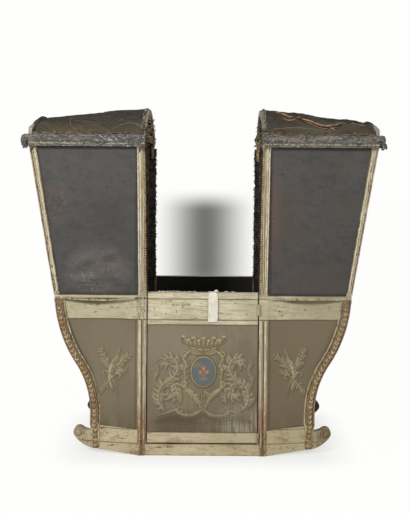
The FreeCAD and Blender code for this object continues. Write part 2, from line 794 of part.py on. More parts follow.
def build_doors():
    """A door is a frame of stiles and rails behind a painted panel, with a bead under its top rail and a cap on it."""
    across_door = ("-door_half", "door_half")
    frame = new_body("door_frame")
    pad(frame, "side", rectangle(across_door, ("door_foot", "waist_top")), "door_back", "door_thick")
    light = rectangle(("door_stile - door_half", "door_half - door_stile"), ("door_panel_foot", "waist_bottom"))
    pad(frame, "side", light, "door_back", "door_thick", "Pocket")
    for up in (("door_foot", "door_panel_foot"), ("waist_bottom", "waist_top")):
        pad(frame, "side", rectangle(across_door, up), "door_back + door_thick", "door_skin + door_set_back")
    to_both_sides("door_frame", frame)

    panel = box(
        "door_panel",
        across_door,
        ("-door_skin_front", "door_skin - door_skin_front"),
        ("door_panel_foot", "bead_foot"),
    )
    to_both_sides("door_panel", panel)

    bead = box(
        "door_bead",
        across_door,
        ("-(case_half_width + bead_proud)", "door_skin - door_skin_front"),
        ("bead_foot", "waist_bottom"),
    )
    cap = box(
        "door_cap",
        across_door,
        ("-(case_half_width + cap_proud)", "-door_back"),
        ("waist_top", "cap_top"),
    )
    to_both_sides("door_mouldings", joined("door_mouldings_near", [bead, cap], "Compound"))


def build_hinges():
    """Butt hinges between door and right post: the post's knuckles carry the pin, the door's turns on it."""
    door_hinges = []
    post_hinges = []
    for place, middle in (("low", "door_foot + hinge_inset"), ("high", "waist_bottom + hinge_drop")):
        foot = "%s - hinge_tall / 2" % middle
        head = "%s + hinge_tall / 2" % middle
        low_end = foot + " + knuckle_tall"
        high_end = head + " - knuckle_tall"
        leaf_across = ("-pin_across", "leaf_wide - pin_across")

        def barrel(name, up, radius):
            return rod(name, "pin_along", "-pin_across", up, radius)

        door_leaf = box("door_leaf_" + place, ("door_half", "door_half + leaf_thick"), leaf_across, (foot, head))
        low_room = (foot, low_end + " + knuckle_play")
        high_room = (high_end + " - knuckle_play", head)
        room = "knuckle_radius + knuckle_play"
        cleared = joined(
            "door_leaf_room_" + place,
            [barrel("room_low_" + place, low_room, room), barrel("room_high_" + place, high_room, room)],
        )
        door_leaf = boolean("Cut", "door_leaf_cut_" + place, door_leaf, cleared)
        knuckle = barrel(
            "door_knuckle_" + place,
            (low_end + " + knuckle_play", high_end + " - knuckle_play"),
            "knuckle_radius",
        )
        solid = joined("door_hinge_solid_" + place, [door_leaf, knuckle])
        bore = barrel("bore_" + place, (foot, head), "pin_radius + pin_play")
        door_hinges.append(boolean("Cut", "door_hinge_" + place, solid, bore))

        post_leaf = box(
            "post_leaf_" + place,
            ("doorway_half - leaf_thick", "doorway_half"),
            leaf_across,
            (foot, head),
        )
        room_middle = barrel("room_middle_" + place, (low_end, high_end), room)
        post_leaf = boolean("Cut", "post_leaf_cut_" + place, post_leaf, room_middle)
        pieces = [
            post_leaf,
            barrel("post_knuckle_low_" + place, (foot, low_end), "knuckle_radius"),
            barrel("post_knuckle_high_" + place, (high_end, head), "knuckle_radius"),
            barrel("pin_" + place, (foot, head), "pin_radius"),
        ]
        post_hinges.append(joined("post_hinge_" + place, pieces))
    to_both_sides("door_hinges", joined("door_hinges_near", door_hinges, "Compound"))
    to_both_sides("post_hinges", joined("post_hinges_near", post_hinges, "Compound"))


def build_strap():
    """Cotton pull strap hung over the near door's cap."""
    front = "(case_half_width + cap_proud + soft_gap)"
    back = "(door_back - soft_gap)"
    top = "(cap_top + soft_gap)"
    outline = [
        ("-%s - strap_thick" % front, "strap_foot"),
        ("-" + front, "strap_foot"),
        ("-" + front, top),
        ("-" + back, top),
        ("-" + back, "strap_foot_inside"),
        ("strap_thick - " + back, "strap_foot_inside"),
        ("strap_thick - " + back, top + " + strap_thick"),
        ("-%s - strap_thick" % front, top + " + strap_thick"),
    ]
    node("pull_strap", padded("pull_strap", "end", outline, "strap_middle - strap_wide / 2", "strap_wide"))


# ---------------------------------------------------------------- build, check and write


def build():
    sill = build_sills()
    build_corner_posts(sill)
    inside = build_inside_of_corner()
    build_floor()
    build_door_posts()
    build_waist_rails(inside)
    build_side_panels(inside)
    build_end_panels(sill)
    build_hood_walls()
    build_cornices()
    build_roofs()
    build_ribs_and_hoops()
    build_seats()
    build_doors()
    build_hinges()
    build_strap()
    document.recompute()


def check():
    failed = [thing.Label for thing in document.Objects if {"Invalid", "Error"} & set(thing.State)]
    for label, thing in nodes.items():
        if thing.Shape.isNull() or not thing.Shape.isValid() or not thing.Shape.Solids:
            failed.append(label)
    if failed:
        raise RuntimeError("not built: " + ", ".join(failed))


def write():
    os.makedirs("parts", exist_ok=True)
    for label, thing in nodes.items():
        thing.Shape.exportStep("parts/%s.step" % label)


build()
check()
write()
print("%d sub-parts written" % len(nodes))
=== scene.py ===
"""Dresses the two-hooded sedan chair: worn cream paint, grey-brown painted panels, cracked black leather,
carving, nails, braid, torn linings and the cotton pull strap, with a plain studio stage."""

import math
import random
from functools import partial

import bmesh
import bpy
import numpy as np
from bpy.props import FloatProperty, FloatVectorProperty, PointerProperty
from mathutils import Matrix, Vector, noise
from mathutils.bvhtree import BVHTree


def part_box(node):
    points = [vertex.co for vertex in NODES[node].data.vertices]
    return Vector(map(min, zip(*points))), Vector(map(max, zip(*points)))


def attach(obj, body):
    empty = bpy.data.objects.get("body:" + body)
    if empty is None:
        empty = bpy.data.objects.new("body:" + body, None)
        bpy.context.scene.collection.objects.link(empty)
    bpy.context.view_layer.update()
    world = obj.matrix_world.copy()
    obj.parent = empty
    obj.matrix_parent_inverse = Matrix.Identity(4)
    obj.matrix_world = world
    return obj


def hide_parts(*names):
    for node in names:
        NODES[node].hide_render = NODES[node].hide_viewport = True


bl_info = {
    "name": "Sedan Chair Dressing",
    "version": (1, 0, 0),
    "blender": (4, 5, 0),
    "location": "View3D > Sidebar > Sedan Chair",
    "description": "Finishes, carving, nails, leather and linings for a two-hooded sedan chair",
    "category": "Object",
}

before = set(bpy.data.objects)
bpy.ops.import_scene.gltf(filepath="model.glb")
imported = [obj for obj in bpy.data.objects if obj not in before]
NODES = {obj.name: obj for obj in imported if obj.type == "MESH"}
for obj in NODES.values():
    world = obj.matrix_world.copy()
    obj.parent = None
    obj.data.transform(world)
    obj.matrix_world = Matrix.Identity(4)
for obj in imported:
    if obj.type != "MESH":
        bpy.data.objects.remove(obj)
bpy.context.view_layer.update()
SIDES = {"near": -1, "far": 1}
ENDS = {"left": -1, "right": 1}

# Heights of the case's panels, of the waist rail and of the hoods' beads, in metres from the floor.
CASE_FOOT, CASE_HEAD = 0.110, 0.621
WAIST_FOOT, WAIST_TOP = 0.643, 0.743
HOOD_HEAD = 1.450
# Distances from the chair's middle, along to a door panel's edge and across to the roof leather's edge.
DOOR_EDGE = 0.262
EAVES = 0.3835
# Where lines that look for a surface start, well beside the chair or above it.
BESIDE = 0.6
ABOVE = 2.0


def tone(red, green, blue):
    """Scene-linear colour of a paint given as it looks, from 0 to 255."""
    return tuple(((c / 255 + 0.055) / 1.055) ** 2.4 if c > 10 else c / 255 / 12.92 for c in (red, green, blue))


def shaded(colour, *factors):
    """A colour times one factor, or times one each for red, green and blue."""
    return tuple(c * f for c, f in zip(colour, factors if len(factors) == 3 else factors * 3))


def swatch(name, description, *shade):
    return FloatVectorProperty(
        name=name, description=description, subtype="COLOR", size=3, min=0, max=1, default=tone(*shade)
    )


def measure(name, description, metres):
    return FloatProperty(name=name, description=description, unit="LENGTH", min=0, default=metres)


class ChairColours(bpy.types.PropertyGroup):
    """Colours of the chair's finishes."""

    cream: swatch("Cream paint", "Old cream paint of the framing", 189, 181, 155)
    dirt: swatch("Dirt", "Brown dirt and bared wood in the paint", 122, 94, 62)
    panel: swatch("Panel paint", "Grey-brown ground of the painted panels", 117, 107, 87)
    leather: swatch("Hood leather", "Black leather of the hoods, greyed by age", 66, 64, 61)
    roof: swatch("Roof leather", "Browned leather of the roofs", 80, 75, 68)
    lining: swatch("Lining", "Black cloth lining", 24, 22, 21)
    gilt: swatch("Carving", "Bared brown wood and gilding of the carving", 150, 118, 76)
    cotton: swatch("Cotton", "White cotton tape", 226, 222, 210)


class ChairSizes(bpy.types.PropertyGroup):
    """Sizes of the small trim."""

    tack_radius: measure("Tack radius", "Radius of a tack's head", 0.0035)
    tack_pitch: measure("Tack pitch", "Distance from tack to tack", 0.016)
    paint_grid: measure("Paint grid", "Distance between the points that carry the painted ornament", 0.0026)


def colours():
    return bpy.context.scene.chair_colours


def sizes():
    return bpy.context.scene.chair_sizes


# ------------------------------------------------------------------ shader maths


class Amount:
    """A value socket of a finish, with Python's arithmetic."""

    def __init__(self, finish, socket):
        self.finish = finish
        self.socket = socket

    def sum_of(self, operation, *values):
        node = self.finish.add("ShaderNodeMath", {"operation": operation}, dict(enumerate(values)))
        return Amount(self.finish, node.outputs[0])

    def __add__(self, other):
        return self.sum_of("ADD", self, other)

    __radd__ = __add__

    def __sub__(self, other):
        return self.sum_of("SUBTRACT", self, other)

    def __rsub__(self, other):
        return self.sum_of("SUBTRACT", other, self)

    def __mul__(self, other):
        return self.sum_of("MULTIPLY", self, other)

    __rmul__ = __mul__

    def __truediv__(self, other):
        return self.sum_of("DIVIDE", self, other)

    def __abs__(self):
        return self.sum_of("ABSOLUTE", self)

    def __pow__(self, other):
        return self.sum_of("POWER", self, other)

    def smaller(self, other):
        return self.sum_of("MINIMUM", self, other)

    def larger(self, other):
        return self.sum_of("MAXIMUM", self, other)

    def over(self, edge, soft=0.05):
        """Rises from 0 to 1 as the value passes the edge, over the soft width."""
        settings = {"interpolation_type": "SMOOTHSTEP", "clamp": True}
        values = {"Value": self, "From Min": edge - soft / 2, "From Max": edge + soft / 2}
        return Amount(self.finish, self.finish.add("ShaderNodeMapRange", settings, values).outputs[0])

    def under(self, edge, soft=0.05):
        return 1 - self.over(edge, soft)

    def near(self, centre, reach):
        """1 at the centre, falling to 0 at the reach."""
        return abs(self - centre).under(reach / 2, reach)


class Finish:
    """One procedural material with a Principled shader."""

    def __init__(self, name):
        self.material = bpy.data.materials.new(name)
        self.material.use_nodes = True
        self.tree = self.material.node_tree
        self.tree.nodes.clear()
        self.output = self.tree.nodes.new("ShaderNodeOutputMaterial")
        self.shader = self.tree.nodes.new("ShaderNodeBsdfPrincipled")
        self.tree.links.new(self.shader.outputs[0], self.output.inputs["Surface"])
        self.place = self.add("ShaderNodeTexCoord").outputs["Object"]
        self.x, self.y, self.z = self.parts_of(self.place)
        self.shader.inputs["Specular IOR Level"].default_value = 0.3

    def add(self, kind, settings=None, values=None):
        """A node of a kind, its settings first, then the values or links of its sockets."""
        node = self.tree.nodes.new(kind)
        for name, setting in (settings or {}).items():
            setattr(node, name, setting)
        for name, value in (values or {}).items():
            self.feed(node.inputs[name], value)
        return node

    def feed(self, socket, value):
        if isinstance(value, Amount):
            value = value.socket
        if isinstance(value, bpy.types.NodeSocket):
            self.tree.links.new(value, socket)
        elif socket.type == "RGBA":
            socket.default_value = (*value, 1)
        else:
            socket.default_value = value

    def parts_of(self, vector):
        """A vector's length along, across and up."""
        split = self.add("ShaderNodeSeparateXYZ", values={"Vector": vector})
        return [Amount(self, socket) for socket in split.outputs]

    def stretched(self, stretch):
        if stretch is None:
            return self.place
        return self.add("ShaderNodeMapping", values={"Vector": self.place, "Scale": stretch}).outputs[0]

    def cloud(self, scale, detail=3, roughness=0.55, stretch=None, distortion=0.0):
        """Noise from about 0 to 1."""
        values = {"Scale": scale, "Detail": detail, "Roughness": roughness, "Distortion": distortion}
        values["Vector"] = self.stretched(stretch)
        return Amount(self, self.add("ShaderNodeTexNoise", values=values).outputs["Fac"])

    def cells(self, scale, feature="F1", stretch=None):
        values = {"Vector": self.stretched(stretch), "Scale": scale}
        return Amount(self, self.add("ShaderNodeTexVoronoi", {"feature": feature}, values).outputs["Distance"])

    def bands(self, direction, scale):
        settings = {"wave_type": "BANDS", "bands_direction": direction}
        wave = self.add("ShaderNodeTexWave", settings, {"Vector": self.place, "Scale": scale})
        return Amount(self, wave.outputs["Fac"])

    def blend(self, first, second, amount):
        node = self.add("ShaderNodeMix", {"data_type": "RGBA"}, {0: amount, 6: first, 7: second})
        return node.outputs[2]

    def layered(self, colour, *layers):
        """A colour under layers of paint, each with a colour and a cover from 0 to 1."""
        for shade, cover in layers:
            colour = self.blend(colour, shade, cover)
        return colour

    def inner_faces(self, ways):
        """1 on the faces that look into the chair, across ("y"), along ("x") or down ("z")."""
        along, across, up = self.parts_of(self.add("ShaderNodeTexCoord").outputs["Normal"])
        masks = {
            "x": (along * self.x).under(-0.3, 0.04),
            "y": (across * self.y).under(-0.12, 0.04),
            "z": up.under(-0.3, 0.1),
        }
        total = masks[ways[0]]
        for way in ways[1:]:
            total = total.larger(masks[way])
        return total

    def lined(self, colour, ways):
        """Black lining cloth over the colour, on the faces that look inwards."""
        cloth = self.cloud(300, 2, 0.5)
        lining = colours().lining
        black = self.blend(lining, shaded(lining, 2.2), cloth.over(0.55, 0.2) * self.cloud(9, 3, 0.6))
        return self.blend(colour, black, self.inner_faces(ways))

    def edge_lines(self, levels=(), uprights=(), reach=0.006):
        """1 on lines at given heights and given distances along from the middle."""
        total = self.z.near(9.0, reach)
        for level in levels:
            total = total.larger(self.z.near(level, reach))
        for upright in uprights:
            total = total.larger(abs(self.x).near(upright, reach))
        return total

    def spot(self, along, up, half_wide, half_tall):
        """A soft oval on the chair's sides, 1 in its middle."""
        distance = ((self.x - along) / half_wide) ** 2 + ((self.z - up) / half_tall) ** 2
        return distance.under(0.7, 1.1)

    def done(self, colour, roughness, height=None, strength=0.5, depth=0.002, **others):
        """Feeds the shader its colour, its roughness and the bump of a height."""
        if height is not None:
            values = {"Height": height, "Strength": strength, "Distance": depth}
            self.feed(self.shader.inputs["Normal"], self.add("ShaderNodeBump", values=values).outputs[0])
        self.feed(self.shader.inputs["Base Color"], colour)
        self.feed(self.shader.inputs["Roughness"], roughness)
        for name, value in others.items():
            self.feed(self.shader.inputs[name.replace("_", " ")], value)
        return self.material


def grain(way, stretch):
    """How much to squeeze a noise across the grain that runs one way."""
    return tuple(1 if axis == way else stretch for axis in "xyz")


# ------------------------------------------------------------------ finishes


def cream_paint(name, along="x", wear=0.5, levels=(), uprights=(), inner="y"):
    """Old cream paint with brush lines along the timber, dirt in the grain and edges, worn to brown wood."""
    finish = Finish(name)
    stretch = grain(along, 12)
    streaks = finish.cloud(17, 5, 0.66, stretch)
    hairs = finish.cloud(60, 4, 0.75, tuple(0.12 + 0.88 * s / 12 for s in stretch))
    broad = finish.cloud(3.6, 3, 0.6)
    middling = finish.cloud(22, 5, 0.72, tuple(0.45 + 0.55 * s / 12 for s in stretch))
    fine = finish.cloud(170, 3, 0.7, tuple(0.4 + 0.6 * s / 12 for s in stretch))
    cream = colours().cream
    dirt = colours().dirt
    drab = shaded(cream, 0.68, 0.6, 0.46)
    low = finish.z.under(0.3, 0.5)
    worn = (middling.over(0.62 - 0.05 * wear, 0.12) * (0.25 + low * 0.35)).smaller(1)
    colour = finish.layered(
        cream,
        (shaded(cream, 1.18), streaks.over(0.54, 0.24)),
        (shaded(cream, 0.72, 0.75, 0.68), broad.over(0.48, 0.2) * 0.75),
        (drab, streaks.under(0.45, 0.15) * 0.68),
        (drab, hairs.over(0.57, 0.1) * 0.5),
        (shaded(cream, 0.8, 0.68, 0.52), low * 0.45),
        (dirt, worn * 0.75),
    )
    if WAIST_TOP in levels:
        # Painted shadow: a dark greenish bow just under the hood rail, deepest midway along each side section,
        # where the hood's sagging bead shades the waist rail.
        bow = 0.7435 - 0.034 * (1 - ((abs(finish.x) - 0.51) / 0.165) ** 2).larger(0)
        hood_rail_shadow = (finish.z - bow).over(0.003, 0.012) * finish.z.under(0.7455, 0.002)
        hood_rail_shadow = hood_rail_shadow * abs(finish.x).over(0.335, 0.02)
        # Darker in greenish-grey patches towards the right-hand end: partly painted shade of the less-lit right
        # side, partly dirt.
        soiled = finish.x.over(0.42, 0.3) * finish.cloud(6, 4, 0.65, (0.5, 1, 1)).over(0.4, 0.3)
        colour = finish.layered(
            colour,
            (shaded(cream, 0.26, 0.26, 0.18), hood_rail_shadow * 0.85),
            (shaded(cream, 0.5, 0.49, 0.42), soiled * 0.75),
        )
    if along == "z":
        colour = finish.blend(colour, tone(146, 130, 104), middling.over(0.44, 0.14) * 0.55)
    chips = (hairs * 0.55 + fine * 0.45).over(0.622 - 0.03 * wear, 0.02)
    colour = finish.layered(
        colour,
        (shaded(dirt, 0.55), finish.edge_lines(levels, uprights, 0.005) * (middling * 1.5).smaller(1)),
        (shaded(dirt, 0.36), chips * 0.8),
    )
    if inner:
        colour = finish.lined(colour, inner)
    else:
        # The volutes are darker in patches, more on the right: partly painted shade, partly dirt. Faces that
        # look into the chair are painted dark brown as their painted shade.
        scroll = abs(finish.x).over(0.545, 0.03) * (finish.x.over(0, 0.1) * 0.5 + 0.35)
        colour = finish.layered(
            colour,
            (tone(112, 94, 70), scroll * middling.over(0.4, 0.3)),
            (tone(70, 58, 44), finish.inner_faces("y")),
        )
    height = streaks * 0.25 + fine * 0.3 - chips * 0.7 - worn * 0.3
    return finish.done(colour, 0.52 + fine * 0.25 + worn * 0.15, height, 0.6, 0.0016)


def post_paint():
    """Cream paint of the doorway posts, worn to red-brown carved wood towards the feet."""
    finish = Finish("post_paint")
    streaks = finish.cloud(17, 5, 0.66, grain("z", 12))
    fine = finish.cloud(150, 4, 0.75, (1, 1, 0.5))
    cream = colours().cream
    dirt = colours().dirt
    low = finish.z.under(0.2, 0.3)
    bared = (low * 0.85 + 0.1) * finish.cloud(26, 5, 0.7, (1.5, 1.5, 0.8)).over(0.43, 0.2)
    edge = finish.edge_lines((WAIST_FOOT, WAIST_TOP), (0.281, 0.290), 0.004) * (streaks * 1.6).smaller(1)
    colour = finish.layered(
        shaded(cream, 0.95),
        (shaded(cream, 1.18), streaks.over(0.52, 0.2)),
        (shaded(cream, 0.66, 0.56, 0.4), streaks.under(0.47, 0.14) * 0.7),
        (shaded(dirt, 1.1, 0.92, 0.78), bared * 0.85),
        (tone(158, 98, 60), bared * finish.z.near(0.2, 0.13) * 0.6),
        (shaded(dirt, 0.34), fine.over(0.58, 0.08) * (0.3 + low * 0.6)),
        (shaded(dirt, 0.5), edge),
    )
    height = fine * (0.3 + low * 1.2) + streaks * 0.3
    return finish.done(finish.lined(colour, "y"), 0.5 + fine * 0.25, height, 0.7)


def carved_paint(name, paleness, depth):
    """Cream paint worn to brown wood and old gilding on the carved facings; the depth scales it all as painted
    light and shade, darkening the carving's ground below 1 and lightening the carved leaves above 1.
    """
    finish = Finish(name)
    broad = finish.cloud(16, 4, 0.7)
    middling = finish.cloud(60, 4, 0.7)
    fine = finish.cloud(150, 4, 0.75)
    cream = shaded(shaded(colours().cream, 0.86, 0.78, 0.64), depth)
    colour = finish.layered(
        shaded(colours().gilt, depth),
        (cream, (broad * 0.45 + middling * 0.55).over(0.56 - 0.12 * paleness, 0.16)),
        (shaded(colours().dirt, 0.42, 0.38, 0.32), fine.over(0.5, 0.16) * 0.75),
        (tone(132, 92, 60), finish.cloud(40, 4, 0.7).over(0.6, 0.08) * 0.4),
    )
    return finish.done(finish.lined(colour, "y"), 0.45 + fine * 0.35, fine + middling * 0.6, 0.8)


def raw_wood(name, shade, way="y"):
    finish = Finish(name)
    lines = finish.cloud(26, 5, 0.6, grain(way, 10))
    fine = finish.cloud(160, 3, 0.6, grain(way, 10))
    wood = tone(*shade)
    dark = shaded(wood, 0.5)
    colour = finish.layered(
        wood, (dark, lines.over(0.5, 0.22) * 0.8), (dark, finish.cloud(9, 3, 0.6).over(0.55, 0.2) * 0.6)
    )
    return finish.done(colour, 0.72 + fine * 0.2, lines + fine * 0.5, 0.5, 0.0015)


def panel_ground(finish):
    """Grey-brown paint of the lower panels, streaked downwards and darker along the lower edge."""
    panel = colours().panel
    streaks = finish.cloud(13, 5, 0.62, (8, 8, 0.7))
    threads = finish.cloud(150, 3, 0.7, (0.6, 0.6, 4))
    dark = shaded(panel, 0.66, 0.62, 0.55)
    low = finish.z.under(0.2, 0.16) * finish.cloud(8, 4, 0.65, (3, 3, 0.5)).over(0.42, 0.3)
    inside = abs(finish.x).under(DOOR_EDGE, 0.004)
    pulled = finish.cloud(60, 4, 0.7, (3, 3, 0.15))
    rim = finish.edge_lines((CASE_FOOT, CASE_HEAD), (DOOR_EDGE,), 0.006) * inside
    rim = rim.larger(finish.edge_lines((WAIST_FOOT,), (0.318,), 0.006) * (1 - inside))
    colour = finish.layered(
        panel,
        (shaded(panel, 1.3), streaks.over(0.56, 0.3) * 0.55),
        (dark, finish.cloud(2.6, 3, 0.6).over(0.53, 0.22) * 0.6),
        (dark, threads.over(0.55, 0.2) * 0.35),
        (shaded(panel, 0.86, 0.84, 0.76), abs(finish.x).over(0.33, 0.05) * 0.6),
        (shaded(panel, 0.5, 0.46, 0.38), low * 0.75),
        (shaded(panel, 0.55, 0.46, 0.38), finish.spot(-0.12, 0.15, 0.14, 0.07) * inside * 0.8),
        (tone(168, 162, 138), finish.spot(0.19, 0.165, 0.12, 0.10) * inside * pulled.over(0.47, 0.14) * 0.6),
        (shaded(panel, 0.84, 0.76, 0.74), finish.spot(0.2, 0.32, 0.11, 0.2) * inside * 0.6),
        (shaded(panel, 1.18, 1.2, 1.22), finish.spot(-0.16, 0.55, 0.2, 0.14) * inside * 0.6),
        # Painted shade: the right-hand side panels darker and browner, as if less lit.
        (shaded(panel, 0.84, 0.76, 0.68), finish.x.over(0.3, 0.04) * 0.6),
        (shaded(panel, 0.34, 0.28, 0.2), rim * 0.6),
        (shaded(panel, 1.75), finish.cloud(90, 5, 0.8, (4, 4, 0.8)).over(0.66, 0.03) * 0.6),
    )
    return colour, streaks, threads


def panel_paint():
    finish = Finish("panel_paint")
    colour, streaks, threads = panel_ground(finish)
    return finish.done(finish.lined(colour, "xy"), 0.48 + threads * 0.2, threads + streaks * 0.3, 0.35, 0.001)


def ornament_paint():
    """Panel paint under the painted ornament that the mesh carries in its colour attribute."""
    finish = Finish("ornament_paint")
    colour, _, threads = panel_ground(finish)
    painted = finish.add("ShaderNodeAttribute", {"attribute_name": "ornament"}).outputs
    cover = Amount(finish, painted["Alpha"])
    worn = finish.cloud(34, 5, 0.75, (1.5, 1.5, 0.7)).over(0.33, 0.24)
    pits = finish.cloud(160, 3, 0.7).over(0.36, 0.1)
    colour = finish.blend(colour, painted["Color"], cover * (0.35 + worn * 0.65) * (0.55 + pits * 0.45))
    return finish.done(colour, 0.46 + threads * 0.2, threads + cover * 0.8, 0.3, 0.001)


def hood_leather():
    """Aged black leather: fine brushing and grain, a stain at the outer edge, scuffed low on the left."""
    finish = Finish("hood_leather")
    leather = colours().leather
    brushed = finish.cloud(70, 4, 0.72, (0.35, 1, 1.5))
    drawn = finish.cloud(34, 4, 0.66, (2.6, 2.6, 0.5))
    broad = finish.cloud(3.4, 4, 0.6)
    ripples = finish.cloud(46, 4, 0.7)
    mottled = finish.cloud(19, 6, 0.8, (0.8, 1, 1.1))
    pale = shaded(leather, 1.5)
    dark = shaded(leather, 0.62)
    right = 1 - finish.x.under(0, 0.1)
    jamb_side = right * finish.x.near(0.335, 0.05) * finish.z.near(1.15, 0.3)
    torn = finish.cloud(42, 5, 0.78)
    stain = finish.spot(-0.700, 1.19, 0.06, 0.11) * torn.over(0.5, 0.14)
    mottle = finish.cloud(13, 5, 0.75, (0.7, 1, 1.5)).over(0.48, 0.26)
    low_patch = finish.spot(-0.50, 0.875, 0.17, 0.13) * mottle
    folds = finish.cells(30, "DISTANCE_TO_EDGE", (0.8, 1, 1.3))
    ridge = folds.under(0.045, 0.08) * finish.spot(-0.495, 0.865, 0.10, 0.09) * torn.over(0.45, 0.1)
    rims = finish.edge_lines((0.765, 1.462), (0.3195,), 0.012) * ripples.over(0.42, 0.2)
    flecks = finish.cloud(110, 5, 0.85, (1.2, 1.2, 0.9)).over(0.64, 0.03)
    foot = finish.z.under(0.79, 0.08) * ripples.over(0.52, 0.1)
    colour = finish.layered(
        leather,
        (pale, finish.z.over(1.24, 0.7) * 0.4),
        (dark, broad.over(0.52, 0.24) * 0.4),
        (pale, brushed.over(0.56, 0.16) * 0.14),
        (dark, brushed.under(0.42, 0.12) * 0.2),
        (dark, drawn.over(0.56, 0.16) * 0.12),
        (pale, mottled.over(0.56, 0.12) * 0.22),
        (dark, mottled.under(0.44, 0.1) * 0.45),
        (shaded(leather, 1.25, 0.98, 0.86), right * finish.cloud(7, 3, 0.6).over(0.48, 0.2) * 0.6),
        (tone(104, 78, 68), jamb_side * 0.35),
        (tone(100, 80, 69), stain * 0.6),
        (dark, stain * ripples.over(0.52, 0.06) * 0.7),
        (tone(116, 106, 100), low_patch * 0.4),
        (shaded(leather, 0.35), rims * 0.7),
        # Pale flecks: scuffs on the stain and the low patch, and on the crumples' ridges also painted
        # highlights.
        (tone(196, 190, 182), flecks * (ridge * 1.4 + stain * 0.5 + low_patch * 0.25).smaller(1)),
        (tone(150, 144, 136), foot * flecks * 0.6),
        (shaded(leather, 0.3), finish.cloud(90, 3, 0.6).over(0.68, 0.02) * 0.8),
    )
    height = finish.cells(420) * 0.35 + ripples * 0.5 + brushed * 0.4 + ridge * 2.4 + stain * 0.8 + broad
    return finish.done(finish.lined(colour, "xy"), 0.5 + brushed * 0.2, height, 0.5)


def roof_leather():
    """Brown-grey leather with creases, dust and bared tan patches."""
    finish = Finish("roof_hide")
    roof = colours().roof
    creases = finish.cloud(20, 6, 0.78, (1, 1.6, 1.6), 0.8)
    broad = finish.cloud(5, 4, 0.65)
    fine = finish.cloud(110, 4, 0.75)
    colour = finish.layered(
        roof,
        (shaded(roof, 0.42), creases.over(0.5, 0.2) * 0.75),
        (shaded(roof, 1.3, 1.22, 0.98), finish.z.under(1.57, 0.06) * broad.over(0.42, 0.2) * 0.8),
        (shaded(roof, 1.6), broad.over(0.57, 0.16) * 0.35),
        (tone(132, 104, 78), (creases * 0.5 + fine * 0.5).over(0.585, 0.03) * 0.6),
        (tone(150, 146, 136), (creases * 0.4 + fine * 0.6).over(0.565, 0.04) * 0.1),
    )
    finish.shader.inputs["Specular IOR Level"].default_value = 0.0
    height = creases * 1.6 + finish.cells(300) * 0.3 + fine * 0.5
    return finish.done(finish.lined(colour, "z"), 0.85 + creases * 0.1, height, 0.7, 0.003)


def cornice_leather():
    finish = Finish("cornice_leather")
    base = tone(100, 97, 91)
    folds = finish.cloud(24, 5, 0.72, (0.55, 0.55, 2.0), 1.0)
    fine = finish.cloud(110, 4, 0.75, (0.7, 0.7, 1.2))
    colour = finish.layered(
        base,
        (shaded(base, 1.12, 0.98, 0.82), finish.x.near(0.46, 0.2)),
        # Painted light and shade of the folds: darker where the fold noise is high, lighter where it is low,
        # with whitish painted highlights.
        (shaded(base, 0.4), folds.over(0.49, 0.12) * 0.9),
        (shaded(base, 1.8), folds.under(0.4, 0.14) * 0.7),
        (tone(206, 202, 194), (folds * 0.35 + fine * 0.65).over(0.57, 0.06) * 0.65),
        (tone(142, 116, 84), fine.over(0.6, 0.06) * finish.cloud(7, 2, 0.5).over(0.5, 0.1) * 0.7),
    )
    return finish.done(finish.lined(colour, "xy"), 0.4 + fine * 0.3, folds * 2.2 + fine * 0.7, 0.8, 0.004)


def cotton_tape():
    """White cotton tape: a close plain weave across and along, soiled at its folds."""
    finish = Finish("cotton_tape")
    cotton = colours().cotton
    weave = finish.bands("X", 260.0) * 0.5 + finish.bands("Z", 190.0) * 0.5
    soil = finish.cloud(26, 4, 0.65)
    colour = finish.layered(
        cotton,
        (shaded(cotton, 0.8, 0.74, 0.62), soil.over(0.5, 0.3) * 0.7),
        (shaded(cotton, 0.66), weave.under(0.3, 0.3) * 0.35),
    )
    return finish.done(colour, 0.8 + weave * 0.1, weave * 0.5 + soil, 0.5, 0.0015, Sheen_Weight=0.2)


def braid_cloth():
    finish = Finish("braid_cloth")
    twist = finish.cloud(150, 2, 0.5, (1, 1, 0.4))
    colour = finish.layered(
        tone(168, 160, 142),
        (tone(92, 84, 70), twist.over(0.52, 0.14) * 0.7),
        (tone(60, 52, 42), finish.cloud(14, 4, 0.7).over(0.54, 0.14) * 0.8),
    )
    return finish.done(colour, 0.8 + twist * 0.1, twist, 0.8)


def tack_metal():
    finish = Finish("tack_metal")
    fine = finish.cloud(200, 3, 0.7)
    colour = finish.blend(tone(160, 138, 98), tone(86, 70, 50), fine.over(0.5, 0.2))
    return finish.done(colour, 0.4 + fine * 0.3, Metallic=0.6)


# Two shades each of the finishes of small torn or curled leather pieces, beads, cloth shreds and scuffs.
PLAIN_FINISHES = {
    "loose_leather": ((84, 76, 68), (150, 146, 140)),
    "tan_leather": ((98, 76, 56), (142, 118, 90)),
    "pale_flap": ((128, 104, 76), (176, 152, 116)),
    "dry_leather": ((96, 90, 74), (126, 118, 98)),
    "gimp_cord": ((178, 148, 106), (208, 184, 144)),
    "gimp_shade": ((74, 56, 40), (118, 94, 66)),
    "bared_hide": ((150, 112, 80), (198, 162, 126)),
    "rose_edge": ((160, 134, 108), (188, 166, 140)),
    "red_leather": ((88, 60, 44), (120, 88, 64)),
    "grey_scuff": ((120, 116, 110), (176, 170, 162)),
    "gap_wood": ((112, 92, 68), (138, 118, 90)),
    "pale_bead_painted_highlight": ((204, 195, 168), (224, 217, 194)),
    "olive_rag": ((84, 78, 50), (138, 124, 86)),
    "white_rag": ((196, 190, 172), (226, 222, 208)),
    "brown_rag": ((74, 56, 40), (118, 94, 66)),
    "black_rag": ((25, 22, 19), (74, 62, 48)),
}


